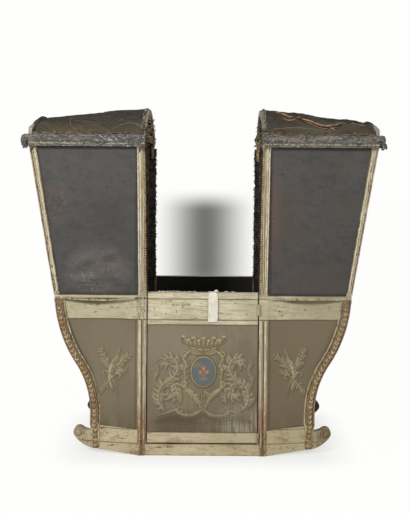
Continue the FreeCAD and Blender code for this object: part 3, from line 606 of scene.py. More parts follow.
def finish_called(name):
    """A finish by name; the plain ones are made the first time they are asked for."""
    if name in bpy.data.materials:
        return bpy.data.materials[name]
    base, light = (tone(*shade) for shade in PLAIN_FINISHES[name])
    finish = Finish(name)
    fine = finish.cloud(140, 4, 0.75)
    broad = finish.cloud(30, 4, 0.7)
    specks = (shaded(base, 0.4), fine.over(0.54, 0.14) * 0.7)
    colour = finish.layered(base, (light, broad.over(0.52, 0.2)), specks)
    return finish.done(colour, 0.65 + fine * 0.2, fine + broad, 0.6)


# ------------------------------------------------------------------ mesh helpers


def piece_from(maker, name, finish, body="case", smooth=True, turned=True):
    """Makes a piece from a bmesh, its faces turned outwards, with its finish and the body it rides on."""
    if turned:
        outwards(maker)
    mesh = bpy.data.meshes.new(name)
    maker.to_mesh(mesh)
    maker.free()
    piece = bpy.data.objects.new(name, mesh)
    bpy.context.scene.collection.objects.link(piece)
    mesh.materials.append(finish_called(finish))
    if smooth:
        mesh.shade_smooth()
    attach(piece, body)
    return piece


def thickened(piece, thickness, **settings):
    """Gives an open piece its thickness."""
    thick = piece.modifiers.new("thickness", "SOLIDIFY")
    thick.thickness = thickness
    for name, setting in settings.items():
        setattr(thick, name, setting)


def surface_of(node):
    """A tree to aim at a node's surface."""
    mesh = NODES[node].data
    return BVHTree.FromPolygons([v.co[:] for v in mesh.vertices], [p.vertices[:] for p in mesh.polygons])


def from_side(tree, side, along, up):
    """Where a line from beside the chair meets a surface, and the surface's direction there."""
    return tree.ray_cast(Vector((along, side * BESIDE, up)), Vector((0, -side, 0)))[:2]


def from_above(tree, along, across):
    return tree.ray_cast(Vector((along, across, ABOVE)), Vector((0, 0, -1)))[:2]


def curve_through(points, steps):
    """Points evenly along a smooth curve through the given ones (Catmull-Rom)."""
    points = [np.array(p, float) for p in points]
    ends = [2 * points[0] - points[1]] + points + [2 * points[-1] - points[-2]]
    out = []
    for before, start, end, after in zip(ends, ends[1:], ends[2:], ends[3:]):
        for step in range(steps):
            t = step / steps
            square = (2 * before - 5 * start + 4 * end - after) * t**2
            cube = (3 * start - before - 3 * end + after) * t**3
            out.append(0.5 * (2 * start + (end - before) * t + square + cube))
    out.append(points[-1])
    return out


def sweep(maker, points, radii, sides=6, flat=1.0, side=None):
    """Adds a closed round bar through the points: a ring drawn along them, its radius given point by point."""
    points = [Vector(p) for p in points]
    if not hasattr(radii, "__len__"):
        radii = [radii] * len(points)
    places = []
    for index, point in enumerate(points):
        ahead = (points[min(index + 1, len(points) - 1)] - points[max(index - 1, 0)]).normalized()
        side = Vector(ahead.orthogonal() if side is None else side)
        side = side - ahead * ahead.dot(side)
        side.normalize()
        place = Matrix((side, ahead.cross(side), ahead)).transposed().to_4x4()
        place.translation = point
        radius = max(radii[index], 1e-5)
        places.append(place @ Matrix.Diagonal((radius, radius * flat, radius, 1)))
    ring = bmesh.ops.create_circle(maker, cap_ends=False, segments=sides, radius=1, matrix=places[0])["verts"]
    edges = list(dict.fromkeys(edge for vertex in ring for edge in vertex.link_edges))
    ends = [list(edges)]
    for before, after in zip(places, places[1:]):
        grown = bmesh.ops.extrude_edge_only(maker, edges=edges)["geom"]
        verts = [item for item in grown if isinstance(item, bmesh.types.BMVert)]
        edges = [item for item in grown if isinstance(item, bmesh.types.BMEdge)]
        bmesh.ops.transform(maker, matrix=after @ before.inverted(), verts=verts)
    ends.append(edges)
    for end in ends:
        bmesh.ops.contextual_create(maker, geom=end)


def bar(maker, rows, *settings, **others):
    """Sweeps a bar through rows, each with a point and its radius."""
    sweep(maker, *zip(*rows), *settings, **others)


def outwards(maker):
    bmesh.ops.recalc_face_normals(maker, faces=maker.faces)


def upwards(maker):
    """Turns the faces of an open sheet up."""
    outwards(maker)
    if sum(face.normal.z for face in maker.faces) < 0:
        bmesh.ops.reverse_faces(maker, faces=maker.faces)


def roughen(maker, push):
    """Moves each point of closed bars along its normal by what push gives for its place."""
    outwards(maker)
    maker.normal_update()
    for vertex in maker.verts:
        vertex.co += vertex.normal * push(vertex.co)


def stud(maker, place, out, radius, height=0.5, sides=8):
    """A low domed head."""
    turn = Vector(out).to_track_quat("Z", "Y").to_matrix().to_4x4()
    turn.translation = Vector(place)
    dome = turn @ Matrix.Diagonal((1, 1, height, 1))
    bmesh.ops.create_uvsphere(maker, u_segments=sides, v_segments=4, radius=radius, matrix=dome)


def leaf(maker, place, along, out, length):
    """A small carved leaf: a flattened bead, fuller at its foot."""
    width, thick = 0.0092, 0.0034
    along = Vector(along).normalized()
    out = Vector(out) - along * along.dot(Vector(out))
    out.normalize()
    turn = Matrix((along, out.cross(along), out)).transposed().to_4x4()
    turn.translation = Vector(place)
    made = bmesh.ops.create_uvsphere(maker, u_segments=8, v_segments=5, radius=1)["verts"]
    for vertex in made:
        lean = 1.0 - 0.45 * vertex.co.x
        vertex.co.y *= lean
        vertex.co.z *= lean
    bmesh.ops.transform(maker, matrix=turn @ Matrix.Diagonal((length / 2, width / 2, thick, 1)), verts=made)


def spaced(points, pitch):
    """Points at an even pitch along a line of points, each with its heading."""
    points = [Vector(p) for p in points]
    out = []
    spare = pitch / 2
    for start, end in zip(points, points[1:]):
        run = (end - start).length
        heading = (end - start).normalized()
        while spare <= run:
            out.append((start + heading * spare, heading))
            spare += pitch
        spare -= run
    return out


def rippled(value, seed, scale):
    """Smooth noise from -1 to 1 for a place."""
    return noise.noise(Vector(value) * scale + Vector((seed * 7.3, seed * 3.1, seed * 5.7)))


# ------------------------------------------------------------------ painted ornament

BRUSH_SOFTNESS = 1.8


class Painter:
    """Brush strokes on a flat picture, in millimetres, kept as colour and cover at each point."""

    def __init__(self, across, up):
        self.across = across
        self.up = up
        self.colour = np.zeros((len(across), 3))
        self.cover = np.zeros(len(across))

    def paint(self, strokes, flip=1):
        """Lays strokes, each with its kind, its points and its settings; a flip of -1 mirrors them."""
        for kind, points, *settings in strokes:
            getattr(self, kind)([(flip * across, up) for across, up in points], *settings)

    def lay(self, mask, where, colour, strength):
        amount = (mask * strength)[:, None]
        self.colour[where] = self.colour[where] * (1 - amount) + np.array(colour) * amount
        self.cover[where] = 1 - (1 - self.cover[where]) * (1 - mask * strength)

    def stroke(self, points, width, colour, strength=0.9, taper=(0.4, 0.1), shift=(0, 0)):
        """A tapered stroke: the taper is its width's share at the start and at the end."""
        path = np.array(curve_through(points, 9)) + np.array(shift)
        swell = np.interp(np.linspace(0, 1, len(path)), (0, 0.35, 1), (taper[0], 1, taper[1]))
        low, high = path.min(0) - width, path.max(0) + width
        inside = (self.across > low[0]) & (self.across < high[0]) & (self.up > low[1]) & (self.up < high[1])
        where = np.nonzero(inside)[0]
        if not len(where):
            return
        across = self.across[where][:, None] - path[None, :, 0]
        up = self.up[where][:, None] - path[None, :, 1]
        gaps = np.hypot(across, up)
        mask = np.clip(((width / 2 * swell)[None, :] - gaps) / BRUSH_SOFTNESS + 0.5, 0, 1).max(1)
        self.lay(mask, where, colour, strength)

    def oval(self, centre, half, colour, strength=0.9):
        distance = np.hypot((self.across - centre[0]) / half[0], (self.up - centre[1]) / half[1])
        mask = np.clip((1 - distance) * min(half) / BRUSH_SOFTNESS + 0.5, 0, 1)
        where = np.nonzero(mask > 0)[0]
        self.lay(mask[where], where, colour, strength)

    def modelled(self, points, width, taper=(0.4, 0.1), warmth=0.0, strength=1.0):
        """A stroke with its shade below and its light above, as one rounded form."""
        shade = tone(76, 67, 50)
        body = tone(138 + 14 * warmth, 129 + 3 * warmth, 100 - 8 * warmth)
        light = tone(188 + 14 * warmth, 176 + 4 * warmth, 136 - 14 * warmth)
        self.stroke(points, width * 1.2, shade, 0.5 * strength, taper, (2.4, -3.0))
        self.stroke(points, width, body, 0.52 * strength, taper)
        self.stroke(points, width * 0.36, light, 0.56 * strength, taper, (-0.19 * width, 0.19 * width))

    def acanthus(self, spine, width, reach, seed, ways=(1, -1), warmth=0.0):
        """A scroll of acanthus: lobed leaves that curl off a rounded stem, longest in its middle."""
        path = curve_through(spine, 8)
        draw = random.Random(seed)
        self.stroke(spine, width + reach * 0.9, tone(130, 122, 97), 0.42, (0.5, 0.35))
        total = length_of(path)
        spare = gone = 0.0
        for start, end in zip(path, path[1:]):
            run = float(np.hypot(*(end - start)))
            heading = (end - start) / max(run, 1e-6)
            gone += run
            spare += run
            if spare < reach * 0.5:
                continue
            spare = 0.0
            swell = 0.45 + 0.55 * math.sin(math.pi * min(1.0, 0.2 + gone / total * 0.75))
            size = reach * swell * draw.uniform(0.7, 1.15)
            for turn in ways:
                angle = turn * math.radians(draw.uniform(28, 72))
                cos, sin = math.cos(angle), math.sin(angle)
                way = np.array([heading[0] * cos - heading[1] * sin, heading[0] * sin + heading[1] * cos])
                out = np.array([-heading[1], heading[0]]) * turn
                tip = start + way * size + heading * size * 0.18
                middle = start + way * size * 0.55 + out * size * 0.16
                self.modelled([start, middle, tip], size * 0.66, (0.55, 0.4), warmth, 0.9)
                self.stroke([start, middle], 2.6, tone(84, 76, 56), 0.5, (0.8, 0.4))
        self.modelled(spine, width, (0.8, 0.4), warmth)


def length_of(path):
    return sum(float(np.hypot(*(b - a))) for a, b in zip(path, path[1:]))


def coil(centre, radius, start, turn, direction, shrink=0.25, count=9):
    """Points of a spiral that closes in on its centre, from an angle in degrees over some turns."""
    points = []
    for index in range(count):
        share = index / (count - 1)
        angle = math.radians(start + direction * 360 * turn * share)
        reach = radius * (1 - (1 - shrink) * share)
        points.append((centre[0] + reach * math.cos(angle), centre[1] + reach * math.sin(angle)))
    return points


LOWER_SCROLL = ((186, -182), (212, -140), (208, -84), (176, -52), (138, -62), (126, -100), (152, -124))
UPPER_SCROLL = ((188, -58), (146, -30), (122, 12), (136, 56), (172, 66), (188, 40), (168, 24))
FRAME_LINE = ((14, 90), (50, 98), (80, 84), (92, 58), (80, 32), (88, 2), (84, -34), (88, -60))
SPRAY = [((2 + 4 * n, -88), (8 + 12 * n, -104 - 3 * n), (4 + 13 * n, -124 + 6 * n)) for n in range(3)]
# The right half of the scrolled frame and its acanthus, outermost first.
CARTOUCHE_HALF = (
    ("acanthus", (*LOWER_SCROLL, (174, -104)), 13, 34, 8),
    ("acanthus", UPPER_SCROLL, 12, 31, 4),
    ("acanthus", ((214, -76), (232, -34), (214, 4), (228, 46), (216, 60)), 6, 15, 5),
    ("acanthus", ((108, -150), (104, -112), (118, -80)), 8, 22, 11, (1,)),
    ("stroke", ((6, -206), (70, -226), (150, -222), (222, -236)), 34, tone(96, 84, 66), 0.4, (0.7, 0.6)),
    ("acanthus", ((4, -180), (46, -204), (98, -204), (134, -184), (166, -196), (214, -208)), 10, 17, 7, (-1,)),
    ("modelled", coil((106, -184), 19, 300, 1.1, 1), 8, (0.9, 0.4)),
    ("modelled", ((12, -236), (88, -246), (160, -240), (228, -246)), 6, (0.7, 0.5), 0, 0.7),
    ("modelled", FRAME_LINE, 17, (0.7, 0.6), 0.3),
    ("acanthus", ((92, -56), (78, -86), (50, -108), (26, -136), (8, -176)), 13, 17, 15, (1, -1), 0.2),
    ("modelled", coil((88, 80), 17, 160, 1.2, -1), 9, (0.9, 0.4), 0.3),
    ("modelled", coil((90, -58), 17, 230, 1.2, 1), 9, (0.9, 0.4), 0.3),
    ("modelled", coil((92, 16), 11, 90, 1.0, -1), 8, (0.9, 0.5), 0.3),
    *(
        ("modelled", ((68, up), (77, up - 8), (86, up - 4)), 8, (0.8, 0.4), 0.3, 0.8)
        for up in range(56, -50, -26)
    ),
    *(("modelled", ((6 + 10 * n, 82), (10 + 15 * n, 100 - 3 * n)), 10, (0.6, 0.8), 0.4) for n in range(4)),
    *(("modelled", line, 9, (0.5, 0.7), 0.3) for line in SPRAY),
)
FIELD_OVALS = (
    ((0, 0), (66, 78), tone(74, 64, 44), 0.75),
    ((-1, 1), (61, 73), tone(160, 144, 102), 0.85),
    ((0, 0), (56, 68), tone(58, 54, 44), 0.9),
    ((0, 0), (53, 65), tone(90, 96, 92), 0.92),
)
# Cloudy patches of the field: place, length, width and shade.
FIELD_PATCHES = (
    (-40, 30, 34, 26, tone(120, 114, 84)),
    (4, 34, 40, 28, tone(78, 100, 118)),
    (-48, -6, 40, 34, tone(80, 98, 108)),
    (14, -10, 34, 36, tone(86, 96, 96)),
    (-34, -42, 64, 22, tone(84, 98, 104)),
)
# The right-hand strokes of a quiver crossed with leafy branches and a torch, tied with a ribbon.
TROPHY = (
    ("acanthus", ((-4, 6), (-30, 36), (-56, 66), (-88, 84)), 7, 25, 21, (1, -1), 0.1),
    ("acanthus", ((12, 10), (34, 46), (50, 86), (60, 120)), 7, 24, 22, (1, -1), 0.1),
    ("acanthus", ((-14, -6), (-48, 4), (-74, 12)), 6, 16, 24, (1, -1), 0.1),
    ("modelled", ((-36, 112), (-18, 70), (8, 24), (22, -20)), 12, (0.9, 0.6), 0.2),
    ("stroke", ((-10, 52), (6, 10), (10, -40), (-2, -86)), 44, tone(128, 121, 96), 0.4, (0.7, 0.4)),
    ("modelled", ((-10, 50), (6, 10), (12, -36), (2, -80)), 30, (0.8, 0.5), 0.2),
    *(("modelled", ((9 * n - 20, 48 - 3 * n), (9 * n - 29, 76 - 7 * n)), 7, (0.6, 0.9), 0.2) for n in range(4)),
    ("modelled", ((26, 0), (4, -28), (-16, -66), (-24, -116)), 12, (0.9, 0.4), 0.1),
    ("modelled", ((-20, -8), (12, -38), (42, -76), (58, -116)), 10, (0.8, 0.3), 0.1),
    ("acanthus", ((24, -54), (46, -78), (60, -108)), 5, 18, 23, (1, -1), 0.1),
    ("modelled", coil((-26, -22), 16, 40, 0.9, 1), 8, (0.7, 0.4), 0.2),
    ("modelled", coil((36, -12), 15, 140, 0.9, -1), 8, (0.7, 0.4), 0.2),
    *(
        ("stroke", ((across - 13, up), (across, up - 5), (across + 14, up + 2)), 5, tone(84, 76, 56), 0.7)
        for across, up in ((4, -8), (8, -30), (2, 18))
    ),
)


def paint_cartouche(painter):
    """A plain oval field with a sprig, under a crown, in a scrolled frame between acanthus scrolls."""
    painter.paint(CARTOUCHE_HALF, -1)
    painter.paint(CARTOUCHE_HALF)
    for oval in FIELD_OVALS:
        painter.oval(*oval)
    for across, up, length, width, shade in FIELD_PATCHES:
        line = [(across, up), (across + length / 2, up + 4), (across + length, up - 3)]
        painter.stroke(line, width, shade, 0.55, (0.7, 0.6))
    painter.stroke([(1, -44), (-2, -14), (2, 12)], 4, tone(120, 104, 68), 0.8, (0.8, 0.6))
    for across, up, size in ((1, 16, 12), (-15, -2, 10), (17, 0, 10)):
        stem = [(0, -26), (across * 0.6, up - 12), (across, up - 3)]
        painter.stroke(stem, 4, tone(150, 112, 72), 0.7, (0.6, 0.6))
        for petal in range(5):
            angle = math.radians(90 + 72 * petal)
            tip = (across + size * 0.7 * math.cos(angle), up + size * 0.7 * math.sin(angle))
            painter.stroke([(across, up), tip], size * 0.8, tone(170, 96, 64), 0.7, (0.8, 0.9))
        painter.oval((across, up), (3, 3), tone(196, 168, 112), 0.8)
    for turn in (-1, 1):
        blade = [(0, -32), (10 * turn, -34), (19 * turn, -26)]
        painter.stroke(blade, 8, tone(132, 122, 80), 0.7, (0.6, 0.3))
    paint_crown(painter)


def paint_crown(painter):
    """A plain leafed and pearled coronet that opens upwards."""
    painter.stroke([(-88, 146), (0, 138), (88, 146)], 46, tone(120, 110, 86), 0.5, (0.8, 0.8))
    painter.stroke([(-78, 102), (0, 92), (78, 102)], 8, tone(62, 52, 38), 0.5, (0.6, 0.6))
    for up, width in ((106, 9), (115, 6), (123, 8)):
        half = 66 + (up - 106) * 0.9
        painter.modelled([(-half, up + 8), (0, up - 4), (half, up + 8)], width, (0.8, 0.8), 0.45)
    for index in range(9):
        share = index / 8 * 2 - 1
        is_leaf = index % 2 == 0
        foot = (76 * share, 128 + 8 * share**2)
        head = (foot[0] + 20 * share, foot[1] + (32 if is_leaf else 20))
        painter.modelled([foot, head], 13, (0.9, 0.7), 0.4)
        x, z = head
        if is_leaf:
            for turn in (-1, 1):
                lobe = [(x, z - 5), (x + 8 * turn, z + 1), (x + 13 * turn, z - 12)]
                painter.modelled(lobe, 9, (0.8, 0.6), 0.35)
            painter.oval((x, z + 3), (6, 7), tone(176, 162, 120), 0.6)
        else:
            painter.oval((x + 1.5, z - 2), (8, 8), tone(76, 66, 48), 0.6)
            painter.oval(head, (6.5, 6.5), tone(184, 172, 134), 0.7)
    for index in range(13):
        share = index / 12 * 2 - 1
        gem = tone(160, 92, 66) if index % 3 == 0 else tone(182, 170, 132)
        painter.oval((64 * share, 107 + 9 * share**2), (4, 4), gem, 0.6)


def painted_face(name, node, picture, centre, body, side):
    """A fine skin on a panel's outer face that carries its painted ornament."""
    low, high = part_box(node)
    pitch = sizes().paint_grid
    wide = max(2, round((high.x - low.x) / pitch))
    tall = max(2, round((high.z - low.z) / pitch))
    skin = bmesh.new()
    bmesh.ops.create_grid(skin, x_segments=wide, y_segments=tall, size=0.5)
    tree = surface_of(node)
    lost = []
    for vertex in skin.verts:
        along = low.x + (vertex.co.x + 0.5) * (high.x - low.x)
        up = low.z + (vertex.co.y + 0.5) * (high.z - low.z)
        hit, normal = from_side(tree, side, along, up)
        if hit is None or normal.y * side < 0.3:
            lost.append(vertex)
        else:
            vertex.co = hit + normal * 0.0006
    bmesh.ops.delete(skin, geom=lost, context="VERTS")
    if side > 0:
        bmesh.ops.reverse_faces(skin, faces=skin.faces)
    mesh = piece_from(skin, name, "ornament_paint", body, turned=False).data
    places = np.zeros(len(mesh.vertices) * 3)
    mesh.vertices.foreach_get("co", places)
    places = places.reshape(-1, 3) * 1000
    painter = Painter((places[:, 0] - centre[0] * 1000) * -side, places[:, 2] - centre[1] * 1000)
    picture(painter)
    attribute = mesh.color_attributes.new("ornament", "FLOAT_COLOR", "POINT")
    values = np.concatenate([painter.colour, painter.cover[:, None]], axis=1).astype(np.float32)
    attribute.data.foreach_set("color", values.ravel())


# ------------------------------------------------------------------ operators

# The kinds of solid that each finish is for.
SOLIDS_OF = {
    "cream_paint_sills": ("sill",),
    "cream_paint_rails": ("waist_rail", "hood_rail"),
    "cream_paint_ends": ("end_waist_rail",),
    "cream_paint_doors": ("door_frame", "door_mouldings"),
    "cream_paint_posts": ("hood_posts",),
    "post_paint": ("door_post", "door_hinges", "post_hinges"),
    "carved_paint": ("corner_post",),
    "panel_paint": ("door_panel", "side_panel", "end_panel"),
    "hood_leather": ("hood_side_panel", "hood_end_panel"),
    "cornice_leather": ("cornice",),
    "roof_hide": ("roof",),
    "rib_wood": ("roof_rib",),
    "hoop_wood": ("end_hoop",),
    "seat_wood": ("seat",),
    "floor_wood": ("floor_board",),
    "end_sill_wood": ("end_sill",),
    "cotton_tape": ("pull_strap",),
}
SOLID_FINISHES = {kind: finish for finish, kinds in SOLIDS_OF.items() for kind in kinds}
SOFTENED = ("sill", "waist_rail", "door_frame", "door_post", "door_mouldings", "hood_rail", "hood_posts")


class CHAIR_OT_finishes(bpy.types.Operator):
    """Give every solid of the chair its finish, and soften the edges of the framing and the cornices"""

    bl_idname = "chair.finishes"
    bl_label = "Finish Solids"

    def execute(self, context):
        cream_paint("cream_paint_posts", "z", 2.6)
        door_levels = (0.06, CASE_FOOT, CASE_HEAD, WAIST_FOOT, WAIST_TOP)
        cream_paint("cream_paint_rails", "x", 0.4, (WAIST_FOOT, WAIST_TOP, 0.759))
        cream_paint("cream_paint_sills", "x", 1.0, (0.0, 0.055, 0.122), inner="")
        cream_paint("cream_paint_doors", "x", 0.5, door_levels, (DOOR_EDGE,))
        cream_paint("cream_paint_ends", "y", 0.5, inner="x")
        # Depth 0.62 darkens the whole corner post as painted shade of the carving's ground.
        carved_paint("carved_paint", 0.5, 0.62)
        for make in (post_paint, panel_paint, hood_leather, cornice_leather, roof_leather, cotton_tape):
            make()
        raw_wood("rib_wood", (176, 164, 140))
        raw_wood("hoop_wood", (170, 166, 154))
        raw_wood("seat_wood", (92, 72, 52))
        raw_wood("floor_wood", (96, 76, 56), "x")
        raw_wood("end_sill_wood", (120, 104, 78))
        for node, thing in NODES.items():
            kind = max((key for key in SOLID_FINISHES if node == key or node.startswith(key + "_")), key=len)
            thing.data.materials.clear()
            thing.data.materials.append(finish_called(SOLID_FINISHES[kind]))
            if kind in (*SOFTENED, "cornice"):
                bevel = thing.modifiers.new("soft_edges", "BEVEL")
                bevel.width = 0.010 if kind == "cornice" else 0.0025
                bevel.segments = 3
                bevel.limit_method = "ANGLE"
                bevel.angle_limit = math.radians(40)
        return {"FINISHED"}


class CHAIR_OT_painted_panels(bpy.types.Operator):
    """Paint the ornament on the doors and the side panels"""

    bl_idname = "chair.painted_panels"
    bl_label = "Painted Panels"

    def execute(self, context):
        ornament_paint()
        for word, side in SIDES.items():
            door = "door_panel_" + word
            painted_face("door_painting_" + word, door, paint_cartouche, (0.005, 0.397), word + "_door", side)
            for end, sign in ENDS.items():
                which = "%s_%s" % (end, word)
                panel = "side_panel_" + which
                trophy = partial(Painter.paint, strokes=TROPHY, flip=-sign * side)
                painted_face("side_painting_" + which, panel, trophy, (sign * 0.428, 0.39), "case", side)
        return {"FINISHED"}


def cornice_path(sign, out, inner):
    """Round a cornice from its inner end on the near side, past the outer end, to the far side."""
    low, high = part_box("cornice_right")
    x_in, x_out, y_out = low.x + inner, high.x + out, high.y + out
    corner, steps, count = 0.03, 5, 12
    points = [(x_in, -y_out)]
    for index in range(1, count + 1):
        points.append((x_in + (x_out - corner - x_in) * index / count, -y_out))
    for index in range(1, steps):
        angle = math.radians(-90 + 90 * index / steps)
        points.append((x_out - corner + corner * math.cos(angle), -y_out + corner + corner * math.sin(angle)))
    for index in range(count + 1):
        points.append((x_out, -(y_out - corner) * (1 - 2 * index / count)))
    points += [(x, -y) for x, y in reversed(points[: -count - 1])]
    return [(sign * x, y) for x, y in points]


def radii_along(points, radius, shape):
    """A radius for each point: the given one times the shape at the point's share of the way."""
    last = len(points) - 1
    return [radius * shape(index / last) for index in range(last + 1)]


class CHAIR_OT_cornices(bpy.types.Operator):
    """Wrap the cornices in folded leather, with the braid and its nails under it"""

    bl_idname = "chair.cornices"
    bl_label = "Cornices"

    def execute(self, context):
        low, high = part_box("cornice_right")
        braid_cloth()
        tack_metal()
        for end, sign in ENDS.items():
            skin = bmesh.new()
            line = [(x, y, high.z - 0.0195) for x, y in cornice_path(sign, -0.0075, 0.018)]
            rows = []
            for place in curve_through(line, 8):
                wave = rippled(place, 1 + sign, 9)
                radius = 0.0200 * (1 + 0.05 * wave + 0.08 * rippled(place, 5 + sign, 42))
                rows.append((Vector(place) + Vector((0, 0, 0.002 * wave)), radius))
            bar(skin, rows, 16, 0.56, side=(0, 0, 1))
            roughen(skin, lambda place: rippled(place, 3 + sign, 55) * 0.0026 + rippled(place, 9, 130) * 0.0012)
            self.knots(skin, sign, low, high)
            piece_from(skin, "cornice_leather_" + end, "cornice_leather", turned=False)
            band = bmesh.new()
            line = curve_through([(x, y, low.z + 0.0135) for x, y in cornice_path(sign, -0.0078, 0.003)], 4)
            line = [Vector(p) + Vector((0, 0, 0.0012 * math.sin(n * 1.9))) for n, p in enumerate(line)]
            sweep(band, line, 0.0036)
            self.studs(band, sign, low.z + 0.0195, (-0.0045, 0.004), 0.0085, 0.0031, 0.8, 6)
            piece_from(band, "braid_" + end, "braid_cloth")
            nails = bmesh.new()
            pitch, radius = sizes().tack_pitch * 2, sizes().tack_radius
            self.studs(nails, sign, low.z + 0.0065, (-0.009, 0.006), pitch, radius)
            piece_from(nails, "cornice_nails_" + end, "tack_metal")
        return {"FINISHED"}

    def studs(self, maker, sign, up, insets, pitch, *shape):
        """Studs round a cornice at a height."""
        for place, heading in spaced([(x, y, up) for x, y in cornice_path(sign, *insets)], pitch):
            stud(maker, place, Vector((heading.y, -heading.x, 0)) * sign, *shape)

    def knots(self, skin, sign, low, high):
        """Bunched folds where the leather turns the cornice's outer corners; they hang lower on the right."""
        draw = random.Random(17 + sign)
        top = high.z - (0.026 if sign > 0 else 0.004)
        for side in (-1, 1):
            corner = Vector((sign * (high.x - 0.016), side * (high.y - 0.016), 0))
            for _ in range(13):
                angle = math.radians(draw.uniform(-15, 105))
                out = Vector((sign * math.cos(angle), side * math.sin(angle), 0))
                foot = corner + out * draw.uniform(0.002, 0.010)
                foot += Vector((0, 0, low.z + draw.uniform(-0.013, 0.008)))
                head = corner + out * draw.uniform(0.0, 0.008) + Vector((0, 0, top - draw.uniform(0.0, 0.014)))
                belly = (foot + head) / 2 + out * draw.uniform(0.006, 0.013)
                slip = Vector((draw.uniform(-0.012, 0.012), draw.uniform(-0.012, 0.012), 0))
                line = curve_through([foot + slip, belly, head - slip], 4)
                thick = draw.uniform(0.0045, 0.0085)
                radii = radii_along(line, thick, lambda share: 0.6 + 0.4 * math.sin(math.pi * share))
                sweep(skin, line, radii, 8)


def face_edges(node, side, heights):
    """The inner and the outer edge of a post's outer face at each height."""
    tree = surface_of(node)
    low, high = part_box(node)
    rows = []
    for up in heights:
        hits = laid_on(tree, side, [(along, up) for along in np.arange(low.x + 0.0005, high.x, 0.0015)])
        if len(hits) > 4:
            ends = (hits[0], hits[-1])
            rows.append(ends if hits[0].x > 0 else ends[::-1])
    return rows


def laid_on(tree, side, line):
    """The places where a line of points, each along and up, meets a surface on one side."""
    hits = (from_side(tree, side, along, up)[0] for along, up in line)
    return [hit for hit in hits if hit is not None]


def straight_edges(node, side, foot, head):
    """The two edges of a straight post's outer face, as rows from its foot to its head."""
    rows = face_edges(node, side, np.linspace(foot, head, 30))
    ups = [a.z for a, b in rows]
    lines = [np.polyfit(ups, [row[which].x for row in rows], 1) for which in (0, 1)]
    face = float(np.median([row[0].y for row in rows]))
    ups = np.linspace(foot, head, 50)
    return [[Vector((float(np.polyval(line, up)), face, up)) for line in lines] for up in ups]


# Scratches: place along and up, then how far they run along and rise.
RAIL_SCRATCHES = (
    (-0.44, 0.700, 0.012, -0.006), (-0.52, 0.668, 0.016, 0.004), (0.37, 0.66, 0.014, 0.005),
    (0.48, 0.69, 0.012, -0.004), (0.60, 0.70, 0.010, 0.006), (-0.38, 0.73, 0.010, -0.008),
    (0.42, 0.72, 0.010, 0.003),
)
DOOR_SCRATCHES = (
    (-0.148, 0.715, 0.014, -0.012), (-0.130, 0.690, 0.004, -0.016), (-0.100, 0.696, 0.002, 0.020),
    (-0.072, 0.720, 0.008, -0.010), (-0.200, 0.712, 0.010, 0.006), (-0.235, 0.700, 0.006, -0.014),
    (-0.180, 0.668, 0.010, 0.004), (0.06, 0.70, 0.012, -0.004), (0.15, 0.722, 0.010, 0.003),
    (0.20, 0.668, 0.014, 0.002), (-0.16, 0.733, 0.012, -0.004),
)


